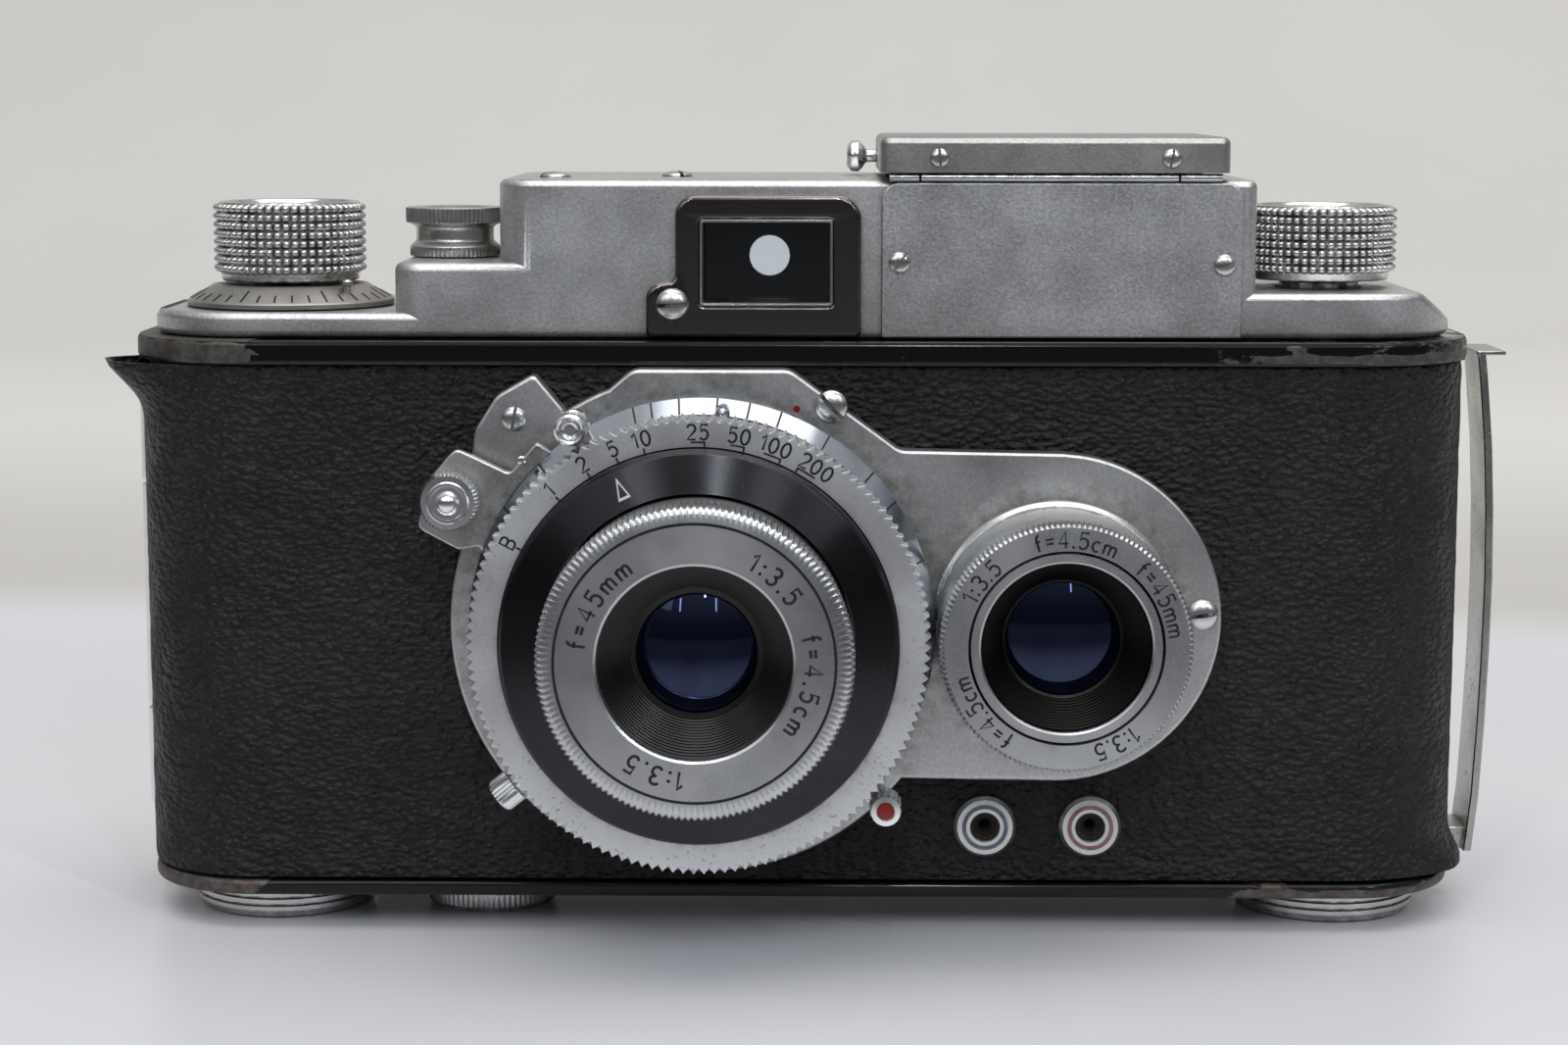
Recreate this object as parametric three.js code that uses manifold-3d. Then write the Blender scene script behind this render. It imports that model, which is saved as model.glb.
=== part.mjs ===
// Side-by-side twin-lens reflex camera for 35 mm film, as an assembly of separate parts.
// Millimetres. +X to the right when facing the lenses, the lenses point along -Y, +Z is up.
// Inside this file Y = 0 is the front of the leather and Z = 0 is the underside of the feet.
// The outer group then moves everything so that the bounding box is centred on X = 0 and Y = 0.
import * as THREE from 'three';
import { mergeVertices } from 'three/addons/utils/BufferGeometryUtils.js';
import Module from 'manifold-3d';

const wasm = await Module();
wasm.setup();

// ---- driving dimensions -------------------------------------------------------------------
const CENTRE = { x: -1.275, y: -4.9 };       // shift of the whole camera onto the row's origin
const BODY_HALF = 71.4;                      // half width over the leather
const BODY_DEPTH = 35.0;                     // front leather to rear leather
const CORNER = 12.6;                         // corner radius of the leather, seen from above
const SEAM_Y = 22.0;                         // parting line between body and back door
const SKIN = 0.6;                            // leather thickness
const BAND = { half: 71.8, z0: 60.9, z1: 63.3 };
const BASE = { half: 71.1, z0: 3.8, z1: 5.4 };
const COVER_Z = 63.45;                       // lower edge of the top cover
const HOUSE = { x0: -31.9, x1: 47.9, top: 80.1, front: 2.6, corner: 4.0 };
const STEP = { x0: -43.0, z0: 66.1, z1: 71.4, corner: 3.0 };
const FILM_Y = 29.0;                         // film plane
const SPOOL = { x: -55.73, y: 15.0, chamber: 13.0 };
const CASSETTE = { x: 56.3, y: 15.0, chamber: 13.0 };
const CHAMBER = { z0: 8.2, z1: 57.8 };
const SPROCKET = { x: -35.7, y: 24.9 };
const COLLAR = { x: -37.7, y: 15.0 };
const TAKE = { x: -10.08, z: 33.85 };        // axis of the taking lens
const VIEW = { x: 26.84, z: 34.24 };         // axis of the viewing lens
const MIRROR = { x0: 11.2, x1: 41.9, y0: 2.6, y1: 26.5, z0: 16.0 };
const DOOR_AXIS = { x: -72.9, y: 22.0 };
const WELL = { x0: 9.7, x1: 43.4, y0: 4.2, y1: 28.6 };
const LID = { x0: 8.3, x1: 44.8, y0: 1.0, y1: 30.2, z0: 80.9, z1: 84.6 };
const EYE = { x: -3.7, z: 70.7 };            // axis of the optical finder
const STRIP = { y0: 14.0, y1: 22.0 };        // latch strip on the right-hand end

// ---- from three.js geometry to solids and back --------------------------------------------
function solid(geometry) {
  const bare = geometry.index ? geometry.toNonIndexed() : geometry.clone();
  bare.deleteAttribute('normal');
  bare.deleteAttribute('uv');
  const merged = mergeVertices(bare, 1e-4);
  const tris = [];
  const index = merged.index.array;
  for (let i = 0; i < index.length; i += 3) {
    const [a, b, c] = [index[i], index[i + 1], index[i + 2]];
    if (a !== b && b !== c && a !== c) tris.push(a, b, c);
  }
  return new wasm.Manifold(new wasm.Mesh({
    numProp: 3,
    vertProperties: new Float32Array(merged.attributes.position.array),
    triVerts: new Uint32Array(tris),
  }));
}

function piece(name, shape, colour, roughness, metalness) {
  const mesh = shape.getMesh();
  const geometry = new THREE.BufferGeometry();
  geometry.setAttribute('position', new THREE.BufferAttribute(new Float32Array(mesh.vertProperties), 3));
  geometry.setIndex(Array.from(mesh.triVerts));
  geometry.computeVertexNormals();
  const material = new THREE.MeshStandardMaterial({ color: colour, roughness, metalness });
  const node = new THREE.Mesh(geometry, material);
  node.name = name;
  return node;
}

// ---- shapes ---------------------------------------------------------------------------------
function box(x0, x1, y0, y1, z0, z1) {
  const geometry = new THREE.BoxGeometry(x1 - x0, y1 - y0, z1 - z0);
  geometry.translate((x0 + x1) / 2, (y0 + y1) / 2, (z0 + z1) / 2);
  return solid(geometry);
}

// A flat outline pushed along one axis. along 'z' takes (x, y) points, along 'y' takes (x, z)
// points and along 'x' takes (y, z) points.
function prism(along, points, from, to) {
  const shape = new THREE.Shape(points.map(([u, v]) => new THREE.Vector2(u, v)));
  const geometry = new THREE.ExtrudeGeometry(shape, { depth: to - from, bevelEnabled: false });
  const turn = new THREE.Matrix4();
  const axes = { x: new THREE.Vector3(1, 0, 0), y: new THREE.Vector3(0, 1, 0), z: new THREE.Vector3(0, 0, 1) };
  geometry.translate(0, 0, along === 'y' ? -to : from);
  if (along === 'y') turn.makeBasis(axes.x, axes.z, axes.y.clone().negate());
  if (along === 'x') turn.makeBasis(axes.y, axes.z, axes.x);
  geometry.applyMatrix4(turn);
  return solid(geometry);
}

// A profile of (radius, height) points turned about an axis; it starts and ends on the axis,
// or closes on itself, with the outside going up.
function turned(along, cx, cOther, profile, segments = 28) {
  const points = profile.map(([r, h]) => new THREE.Vector2(r, h));
  const geometry = new THREE.LatheGeometry(points, segments);
  if (along === 'z') {
    geometry.rotateX(Math.PI / 2);
    geometry.translate(cx, cOther, 0);
  } else {
    geometry.translate(cx, 0, cOther);
  }
  return solid(geometry);
}

const rod = (along, cx, cOther, r, from, to, segments = 24) =>
  turned(along, cx, cOther, [[0, from], [r, from], [r, to], [0, to]], segments);

const tube = (along, cx, cOther, inner, outer, from, to, segments = 24) => turned(along, cx, cOther,
  [[inner, from], [outer, from], [outer, to], [inner, to], [inner, from]], segments);

const crossRod = (y, z, r, x0, x1, segments = 16) => {
  const geometry = new THREE.CylinderGeometry(r, r, x1 - x0, segments);
  geometry.rotateZ(Math.PI / 2);
  geometry.translate((x0 + x1) / 2, y, z);
  return solid(geometry);
};

// Plan outline of the body: straight front and back, rounded corners.
function plan(half, y0, y1, radius, roundFront = true, roundRear = true, steps = 5) {
  const points = [];
  const corner = (cx, cy, start, rounded, sharp) => {
    if (!rounded) {
      points.push(sharp);
      return;
    }
    for (let i = 0; i <= steps; i += 1) {
      const a = start + (i / steps) * (Math.PI / 2);
      points.push([cx + radius * Math.cos(a), cy + radius * Math.sin(a)]);
    }
  };
  corner(half - radius, y0 + radius, -Math.PI / 2, roundFront, [half, y0]);
  corner(half - radius, y1 - radius, 0, roundRear, [half, y1]);
  corner(-half + radius, y1 - radius, Math.PI / 2, roundRear, [-half, y1]);
  corner(-half + radius, y0 + radius, Math.PI, roundFront, [-half, y0]);
  return points;
}

function arc(cx, cz, r, fromDeg, toDeg, steps) {
  const points = [];
  for (let i = 0; i <= steps; i += 1) {
    const a = THREE.MathUtils.degToRad(fromDeg + ((toDeg - fromDeg) * i) / steps);
    points.push([cx + r * Math.cos(a), cz + r * Math.sin(a)]);
  }
  return points;
}

// ---- body casting, base and back door -------------------------------------------------------
function bodyShell() {
  const inset = SKIN + 0.12;
  const front = prism('z', plan(BODY_HALF - inset, inset, SEAM_Y - 0.1, CORNER - inset, true, false),
    BASE.z1 + 0.15, BAND.z0 + 0.05);
  const rear = prism('z', plan(67.6, SEAM_Y - 0.4, FILM_Y, 5, false, true, 3), 7.3, BAND.z0 + 0.05);
  const band = prism('z', plan(BAND.half, -0.5, BODY_DEPTH + 0.5, CORNER + 0.5), BAND.z0, BAND.z1);
  let shell = front.add(rear).add(band);
  for (const z of [14.0, 52.6]) {
    shell = shell.add(box(-41.0, 40.0, FILM_Y - 0.2, FILM_Y + 0.8, z, z + 1.6));
  }
  for (const c of [SPOOL, CASSETTE]) {
    shell = shell.subtract(rod('z', c.x, c.y, c.chamber, CHAMBER.z0, CHAMBER.z1, 24));
    shell = shell.subtract(box(c.x - c.chamber, c.x + c.chamber, c.y, 40, CHAMBER.z0, CHAMBER.z1));
  }
  shell = shell.subtract(rod('z', SPROCKET.x, SPROCKET.y, 5.4, CHAMBER.z0, CHAMBER.z1, 20));
  shell = shell.subtract(box(-28.0, 7.9, 6.0, 40, 21.8, 45.9));
  shell = shell.subtract(rod('y', TAKE.x, TAKE.z, 18.2, -1, 13.0));
  shell = shell.subtract(box(MIRROR.x0, MIRROR.x1, MIRROR.y0, MIRROR.y1, MIRROR.z0, 70));
  shell = shell.subtract(rod('y', VIEW.x, VIEW.z, 10.2, -1, 4.0));
  for (const x of [19.8, 31.0]) {
    shell = shell.subtract(rod('y', x, 11.7, 3.1, -1, 9.0, 16));
  }
  shell = shell.subtract(rod('z', SPOOL.x, SPOOL.y, 3.0, 57, 70, 16));
  shell = shell.subtract(rod('z', COLLAR.x, COLLAR.y, 3.0, 60, 70, 16));
  shell = shell.subtract(rod('z', CASSETTE.x, CASSETTE.y, 4.8, 57, 70, 20));
  return shell;
}

function leatherWrap(y0, y1, roundFront, roundRear, inner0, inner1) {
  const outer = plan(BODY_HALF, y0, y1, CORNER, roundFront, roundRear);
  const inner = plan(BODY_HALF - SKIN, inner0, inner1, CORNER - SKIN, roundFront, roundRear);
  return prism('z', outer, 5.7, 60.75).subtract(prism('z', inner, 0, 70));
}

function frontLeather() {
  let skin = leatherWrap(0, SEAM_Y - 0.15, true, false, SKIN, SEAM_Y + 1);
  skin = skin.subtract(rod('y', TAKE.x, TAKE.z, 18.4, -5, 8));
  skin = skin.subtract(rod('y', VIEW.x, VIEW.z, 10.4, -5, 8));
  for (const x of [19.8, 31.0]) {
    skin = skin.subtract(rod('y', x, 11.7, 3.1, -5, 8, 16));
  }
  return skin;
}

function backDoor() {
  const inset = SKIN + 0.12;
  const wall = 1.5;
  const half = BODY_HALF - inset;
  const rear = BODY_DEPTH - inset;
  const tray = prism('z', plan(half, SEAM_Y + 0.15, rear, CORNER - inset, false, true), 5.7, 60.75);
  const hollow = prism('z', plan(half - wall, SEAM_Y - 2, rear - wall, CORNER - inset - wall, false, true),
    7.0, 62);
  return tray.subtract(hollow);
}

// A thin leaf on the leather, with knuckles round the door's axis at the given heights.
function hingeLeaf(flat, link, heights) {
  const { x, y } = DOOR_AXIS;
  const outside = -BODY_HALF - 0.1;
  const last = heights[heights.length - 1];
  let leaf = box(outside - 0.35, outside, y + flat[0], y + flat[1], heights[0][0], last[1]);
  for (const [z0, z1] of heights) {
    leaf = leaf.add(box(x, outside, y + link[0], y + link[1], z0, z1));
    leaf = leaf.add(rod('z', x, y, 1.25, z0, z1, 16));
  }
  return leaf;
}

const bodyHinge = () => hingeLeaf([-7.5, -1.0], [-1.2, 0], [[9, 20], [46, 57]]);
const doorHinge = () => hingeLeaf([1.0, 7.0], [0, 1.2], [[20.4, 45.6]]);

function basePlate() {
  let plate = prism('z', plan(BASE.half, -0.2, BODY_DEPTH + 0.2, CORNER), BASE.z0, BASE.z1);
  plate = plate.subtract(rod('z', -34.3, 13.6, 3.2, 3, 6, 20));
  return plate;
}

const foot = (x) => turned('z', x, 13.6, [
  [0, 1.0], [4.0, 1.0], [4.0, 0], [9.3, 0], [9.97, 0.7], [9.97, 3.0], [9.3, 3.7], [0, 3.7],
], 32);

const tripodBush = () => turned('z', -34.3, 13.6,
  [[3.1, 0], [6.7, 0], [7.15, 0.5], [7.15, 3.2], [6.7, 3.7], [3.1, 3.7], [3.1, 0]], 24);

function sideLatch() {
  const outer = [[74.7, 5.6], [75.7, 18], [76.1, 33], [75.8, 48], [74.6, 61.2]];
  const inner = outer.map(([x, z]) => [x - 0.9, z]).reverse();
  const strip = prism('y', [...outer, ...inner], STRIP.y0, STRIP.y1);
  const foot = box(71.6, 74.4, STRIP.y0 + 1, STRIP.y1 - 1, 5.6, 8.2);
  const tab = box(73.6, 76.7, STRIP.y0, STRIP.y1 + 2, 60.9, 61.3);
  return strip.add(foot).add(tab);
}

function pressurePlate() {
  let plate = box(-34, 14, 30.2, 31.4, 17.0, 51.0);
  for (const [x, z] of [[-26, 24], [6, 24], [-26, 44], [6, 44]]) {
    plate = plate.add(rod('y', x, z, 2.0, 31.3, 32.6, 12));
  }
  return plate;
}

// ---- top cover and what stands on it --------------------------------------------------------
function coverOutline(inset) {
  const t = inset;
  return [
    [-69.9 + t, COVER_Z], [69.7 - t, COVER_Z], [69.7 - t, 64.9 - t * 0.6], [65.2 - t * 0.6, 68.3 - t],
    [HOUSE.x1 - t, 68.3 - t], [HOUSE.x1 - t, HOUSE.top - 1.2 - t * 0.4],
    [HOUSE.x1 - 1.2 - t * 0.4, HOUSE.top - t],
    [HOUSE.x0 + 1.4 + t * 0.4, HOUSE.top - t], [HOUSE.x0 + t, HOUSE.top - 1.4 - t * 0.4],
    [HOUSE.x0 + t, STEP.z1 - t], [STEP.x0 + 1.3 + t * 0.4, STEP.z1 - t], [STEP.x0 + t, STEP.z1 - 1.3 - t * 0.4],
    [STEP.x0 + t, STEP.z0 - t], [-68.6 + t * 0.4, STEP.z0 - t], [-69.9 + t, 65.0 - t * 0.4],
  ];
}

// What is cut away from an upright left-hand corner to leave it round.
function cornerWaste(x, y, radius, forward, z0, z1) {
  const side = forward ? -1 : 1;
  const centre = [x + radius, y - side * radius];
  const round = arc(centre[0], centre[1], radius, forward ? 270 : 90, 180, 4);
  const outline = [...round, [x - 1, centre[1]], [x - 1, y + side], [centre[0], y + side]];
  return prism('z', forward ? outline.reverse() : outline, z0, z1);
}

function roundLeftCorners(solid, inset) {
  let result = solid;
  for (const [part, z0, z1] of [[HOUSE, STEP.z1, 90], [STEP, STEP.z0, STEP.z1]]) {
    for (const forward of [true, false]) {
      const y = forward ? HOUSE.front + inset : BODY_DEPTH - 1.6 - inset;
      const waste = cornerWaste(part.x0 + inset, y, part.corner - inset, forward, z0 - inset, z1 - inset);
      result = result.subtract(waste);
    }
  }
  return result;
}

function topCover() {
  const wall = 1.2;
  const front = HOUSE.front;
  const outer = prism('y', coverOutline(0), front, BODY_DEPTH - 1.6)
    .intersect(prism('z', plan(69.9, front, BODY_DEPTH - 1.6, 10.5), 60, 90));
  const inner = prism('y', coverOutline(wall), front + wall, BODY_DEPTH - 1.6 - wall)
    .intersect(prism('z', plan(69.9 - wall, front + wall, BODY_DEPTH - 1.6 - wall, 10.5 - wall), 60, 90));
  const below = prism('z', plan(69.9 - wall, front + wall, BODY_DEPTH - 1.6 - wall, 10.5 - wall),
    60, COVER_Z + 0.1);
  let cover = roundLeftCorners(outer, 0).subtract(roundLeftCorners(inner, wall)).subtract(below);
  cover = cover.subtract(box(WELL.x0 - 0.35, WELL.x1 + 0.35, WELL.y0 - 0.35, WELL.y1 + 0.35, 76, 90));
  cover = cover.subtract(box(-10.6, 3.5, 0, 6, 66.9, 76.1));
  cover = cover.subtract(rod('y', EYE.x, EYE.z, 3.6, 28, 40, 24));
  cover = cover.subtract(rod('z', SPOOL.x, SPOOL.y, 3.0, 64, 70, 16));
  cover = cover.subtract(rod('z', COLLAR.x, COLLAR.y, 2.7, 68, 75, 16));
  cover = cover.subtract(rod('z', CASSETTE.x, CASSETTE.y, 4.8, 64, 75, 20));
  return cover;
}

const knob = (c, z0, z1) => turned('z', c.x, c.y, [
  [0, z0], [7.4, z0], [7.6, z0 + 0.6], [8.24, z0 + 1.0], [8.24, z1 - 0.5], [7.8, z1],
  [6.4, z1], [6.0, z1 - 0.5], [0, z1 - 0.5],
]);

const counterDial = () => turned('z', SPOOL.x, SPOOL.y,
  [[3.4, 66.3], [11.2, 66.3], [11.2, 66.7], [8.3, 68.5], [3.4, 68.5], [3.4, 66.3]], 32);

const advanceShaft = () => rod('z', SPOOL.x, SPOOL.y, 2.4, 54.4, 68.7, 16);

const takeupSpool = () => turned('z', SPOOL.x, SPOOL.y, [
  [0, 9.0], [2.2, 9.0], [2.2, 10.2], [10.6, 10.2], [10.6, 11.2], [6.0, 11.2],
  [6.0, 52.8], [10.6, 52.8], [10.6, 53.8], [0, 53.8],
], 24);

function sprocket() {
  let drum = turned('z', SPROCKET.x, SPROCKET.y, [
    [0, 9.0], [1.6, 9.0], [1.6, 16.0], [4.3, 16.0], [4.3, 19.0], [3.2, 20.2], [3.2, 47.4],
    [4.3, 48.6], [4.3, 51.6], [1.6, 51.6], [1.6, 57.0], [0, 57.0],
  ], 16);
  for (const z of [17.0, 50.0]) {
    for (let i = 0; i < 8; i += 1) {
      const tooth = box(4.0, 4.9, -0.5, 0.5, z - 0.6, z + 0.6)
        .rotate([0, 0, i * 45]).translate([SPROCKET.x, SPROCKET.y, 0]);
      drum = drum.add(tooth);
    }
  }
  return drum;
}

function rewindShaft() {
  const shaft = rod('z', CASSETTE.x, CASSETTE.y, 2.6, 57.2, 68.9, 16);
  const stem = rod('z', CASSETTE.x, CASSETTE.y, 1.9, 53.6, 57.4, 12);
  const blade = box(CASSETTE.x - 0.5, CASSETTE.x + 0.5, CASSETTE.y - 1.8, CASSETTE.y + 1.8, 50.8, 53.8);
  return shaft.add(stem).add(blade);
}

const rewindSleeve = () => tube('z', CASSETTE.x, CASSETTE.y, 2.9, 4.3, 58.0, 68.9, 20);

const releaseCollar = () => turned('z', COLLAR.x, COLLAR.y, [
  [2.7, 71.55], [4.9, 71.55], [4.9, 72.7], [4.2, 73.4], [4.2, 74.6], [5.3, 75.3], [5.3, 76.8],
  [3.6, 76.8], [2.7, 76.3], [2.7, 71.55],
], 24);

const releaseButton = () => turned('z', COLLAR.x, COLLAR.y,
  [[0, 64.6], [2.2, 64.6], [2.2, 75.9], [1.6, 76.2], [0, 76.0]], 20);

// ---- optical finder -------------------------------------------------------------------------
function finderFrame() {
  const outline = [
    [-16.2, 63.6], [6.4, 63.6], [6.4, 77.2], [5.0, 78.6], [-11.7, 78.6], [-13.1, 77.2], [-13.1, 69.9],
    [-14.6, 69.2], [-15.8, 68.0], [-16.2, 66.6],
  ];
  return prism('y', outline, 1.2, 2.5).subtract(box(-10.4, 3.3, 0, 4, 67.1, 75.9));
}

const finderTube = () => box(-12.3, 5.2, 4.0, 31.9, 65.2, 77.6)
  .subtract(box(-11.3, 4.2, 3.0, 30.9, 66.2, 76.6))
  .subtract(rod('y', EYE.x, EYE.z, 2.3, 30, 33, 20));

const finderGlass = () => box(-11.1, 4.0, 4.4, 5.4, 66.4, 76.4);

const eyepiece = () => turned('y', EYE.x, EYE.z, [
  [0, 32.2], [3.3, 32.2], [3.3, 33.5], [5.2, 33.5], [5.2, 34.6], [4.2, 34.6], [2.6, 33.2], [0, 33.2],
], 24);

// ---- reflex hood, mirror and ground glass ---------------------------------------------------
function nameplate() {
  const [x0, x1, z0, z1, r] = [8.5, 46.3, 63.6, 79.9, 2.0];
  const outline = [[x0, z0], [x1, z0], ...arc(x1 - r, z1 - r, r, 0, 90, 4), ...arc(x0 + r, z1 - r, r, 90, 180, 4)];
  return prism('y', outline, 2.0, 2.5);
}

function hoodWell() {
  const { x0, x1, y0, y1 } = WELL;
  const wall = 0.9;
  return box(x0, x1, y0, y1, 63.5, 80.5)
    .subtract(box(x0 + wall, x1 - wall, y0 + wall, y1 - wall, 64.5, 90))
    .subtract(box(x0 + 3.2, x1 - 3.2, y0 + 2.6, y1 - 2.6, 60, 70));
}

const groundGlass = () => box(WELL.x0 + 1.1, WELL.x1 - 1.1, WELL.y0 + 1.1, WELL.y1 - 1.1, 64.6, 66.2);

function hoodLid() {
  const { x0, x1, y0, y1, z0, z1 } = LID;
  const bevel = 0.7;
  const outline = [[y0, z0], [y1, z0], [y1, z1 - bevel], [y1 - bevel, z1], [y0 + bevel, z1], [y0, z1 - bevel]];
  const sides = [[x0, z0 - 1], [x1, z0 - 1], [x1, z1 - bevel], [x1 - bevel, z1], [x0 + bevel, z1],
    [x0, z1 - bevel]];
  const shell = prism('x', outline, x0, x1).intersect(prism('y', sides, 0, 40));
  return shell.subtract(box(x0 + 0.9, x1 - 0.9, y0 + 0.9, y1 - 0.9, 70, z1 - 0.9))
    .subtract(crossRod(22, 82.2, 1.0, x0 - 1, x0 + 2, 12));
}

// The flap lies folded inwards; its front corner is cut so that it clears the rising lid.
function hoodFlap(side) {
  const hinge = side < 0 ? 10.8 : 42.3;
  const at = (d) => hinge - side * d;
  const outline = [[at(0), 4.6], [at(2.2), 4.6], [at(9.0), 11.6], [at(9.0), 27.8], [at(0), 27.8]];
  return prism('z', side < 0 ? outline : outline.reverse(), 81.2, 81.7);
}

function magnifierArm() {
  const hinge = 24.5;
  const arm = box(24.9, 28.3, hinge - 6.5, hinge + 0.6, 82.5, 83.2);
  const ring = tube('z', 26.6, hinge - 7.0, 4.4, 5.4, 82.3, 83.3, 24);
  return ring.add(arm.subtract(rod('z', 26.6, hinge - 7.0, 4.9, 80, 85, 24)));
}

const magnifierLens = () => turned('z', 26.6, 17.5,
  [[0, 82.35], [2.4, 82.5], [4.1, 82.7], [4.1, 82.9], [2.4, 83.1], [0, 83.25]], 20);

function hoodCatch() {
  const stem = crossRod(22, 82.2, 0.7, 6.2, 9.7, 12);
  const neck = crossRod(22, 82.2, 1.1, 6.0, 6.6, 16);
  const head = crossRod(22, 82.2, 1.75, 5.0, 6.1, 16);
  return stem.add(neck).add(head);
}

function mirrorCarrier() {
  const wedge = [[4.6, 16.2], [26.2, 16.2], [26.2, 43.2], [25.0, 43.2], [4.6, 22.8]];
  return prism('x', wedge, 11.8, 41.3);
}

function mirror() {
  const slab = [[4.3, 23.1], [24.7, 43.5], [23.7, 44.5], [3.3, 24.1]];
  return prism('x', slab, 12.4, 40.7);
}

// ---- lens plate and focusing ----------------------------------------------------------------
function lensPlate() {
  const disc = rod('y', TAKE.x, TAKE.z, 26.6, -3.0, -0.1, 48);
  const flats = [[-24.0, 55.0], [-17.4, 60.7], [-1.0, 60.7], [10.5, 52.3], [27.8, 52.3], [26.84, 16.9],
    [10.8, 17.2], [0, 20]];
  const bridge = prism('y', flats, -3.0, -0.1);
  const lobe = rod('y', VIEW.x, VIEW.z + 0.35, 17.4, -3.0, -0.1, 36);
  const ear = prism('y', [[-27.6, 60.2], [-31.6, 57.6], [-34.2, 52.6], [-30.5, 46.0], [-23.0, 52.5],
    [-24.6, 56.6]], -3.0, -0.1);
  return disc.add(bridge).add(lobe).add(ear)
    .subtract(rod('y', TAKE.x, TAKE.z, 17.6, -5, 2, 28))
    .subtract(rod('y', VIEW.x, VIEW.z, 10.2, -5, 2));
}

const focusRing = () => turned('y', TAKE.x, TAKE.z,
  [[17.3, -9.7], [23.0, -9.7], [23.6, -5.4], [23.6, -3.2], [17.3, -3.2], [17.3, -9.7]], 36);

function focusLever() {
  const outline = [[-27.1, 53.5], [-29.9, 50.2], [-35.4, 52.8], [-36.3, 51.9], [-38.1, 49.8], [-39.6, 44.5],
    [-35.3, 42.2], [-33.0, 42.6], ...arc(TAKE.x, TAKE.z, 24.1, 160, 130, 6)];
  const arm = prism('y', outline.reverse(), -6.4, -5.0);
  const button = turned('y', -35.9, 47.6,
    [[0, -11.0], [1.2, -10.8], [3.1, -9.6], [3.1, -6.8], [2.2, -6.3], [0, -6.3]], 20);
  return arm.add(button);
}

const takingBarrel = () => turned('y', TAKE.x, TAKE.z, [
  [11.5, -9.8], [16.9, -9.8], [16.9, 11.0], [15.9, 11.0], [15.9, -6.0], [11.5, -6.0], [11.5, -9.8],
]);

// ---- shutter and taking lens ----------------------------------------------------------------
const shutterCase = () => turned('y', TAKE.x, TAKE.z, [
  [7.2, -10.9], [7.2, -9.95], [22.4, -9.95], [22.4, -13.3], [19.6, -13.3], [19.6, -10.9], [7.2, -10.9],
].reverse(), 32);

function speedRing() {
  const teeth = 32;
  const rim = [];
  for (let i = 0; i < teeth * 2; i += 1) {
    const a = (i * Math.PI) / teeth;
    const r = i % 2 ? 23.1 : 23.5;
    rim.push([TAKE.x + r * Math.cos(a), TAKE.z + r * Math.sin(a)]);
  }
  return prism('y', rim, -16.2, -13.6).subtract(rod('y', TAKE.x, TAKE.z, 20.3, -20, -10, 32));
}

const indexRing = () => turned('y', TAKE.x, TAKE.z, [
  [15.9, -18.1], [19.4, -18.1], [20.0, -17.5], [20.0, -13.5], [16.2, -13.5], [16.2, -17.0], [15.9, -17.0],
  [15.9, -18.1],
], 32);

const lensFrontRing = () => turned('y', TAKE.x, TAKE.z, [
  [11.4, -24.7], [9.78, -24.7], [9.78, -25.7], [15.3, -25.7], [15.76, -25.2], [15.76, -13.5],
  [11.4, -13.5], [11.4, -24.7],
], 32);

const lensCone = () => turned('y', TAKE.x, TAKE.z,
  [[9.8, -24.5], [11.1, -24.5], [11.1, -19.0], [6.1, -19.0], [6.1, -19.4], [9.8, -24.5]]);

const frontElement = () => turned('y', TAKE.x, TAKE.z, [
  [0, -19.9], [2.1, -19.75], [4.1, -19.35], [5.9, -18.8], [10.9, -18.8], [10.9, -15.6], [6.0, -15.6],
  [3.0, -15.2], [0, -15.0],
], 24);

const rearElement = () => turned('y', TAKE.x, TAKE.z, [
  [0, -9.2], [3.0, -9.0], [6.2, -8.5], [11.2, -8.5], [11.2, -6.2], [6.2, -5.6], [3.0, -5.0], [0, -4.8],
], 24);

// Two blades meet over the opening, one in front of the other; each swings on its own pin.
function shutterBlade(side, y) {
  const outline = side < 0
    ? [...arc(TAKE.x, TAKE.z, 9.6, 90, 270, 10), [TAKE.x + 0.6, TAKE.z - 9.6], [TAKE.x + 0.6, TAKE.z + 9.6]]
    : [...arc(TAKE.x, TAKE.z, 9.6, -90, 90, 10), [TAKE.x - 0.6, TAKE.z + 9.6], [TAKE.x - 0.6, TAKE.z - 9.6]];
  return prism('y', outline, y, y + 0.3);
}

// A short tongue and a peg that stand outside the shutter at the given clock angle.
function ringLever(angleDeg, alongY, pegR, reach, y0, y1) {
  const a = THREE.MathUtils.degToRad(angleDeg);
  const out = (r) => [TAKE.x + r * Math.cos(a), TAKE.z + r * Math.sin(a)];
  const [px, pz] = out(reach);
  const tongue = solid(new THREE.BoxGeometry(reach - 22.9, 1.3, 2.2)
    .rotateY(-a).translate(...[out((reach + 22.9) / 2)[0], -11.9, out((reach + 22.9) / 2)[1]]));
  if (alongY) return tongue.add(rod('y', px, pz, pegR, y0, y1, 20));
  const peg = new THREE.CylinderGeometry(pegR, pegR, 3.2, 20).rotateZ(-Math.PI / 2).rotateY(-a);
  return tongue.add(solid(peg.translate(px, -11.9, pz)));
}

// ---- viewing lens and flash sockets ---------------------------------------------------------
const viewingFlange = () => turned('y', VIEW.x, VIEW.z,
  [[10.2, -5.0], [12.6, -5.0], [13.0, -4.6], [13.0, -3.1], [10.2, -3.1], [10.2, -5.0]], 32);

const viewingCell = () => turned('y', VIEW.x, VIEW.z, [
  [8.47, -18.6], [9.6, -18.6], [9.6, 0.5], [8.7, 0.5], [8.7, -12.4], [5.9, -12.4], [5.9, -12.8],
  [8.47, -18.0], [8.47, -18.6],
]);

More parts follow.
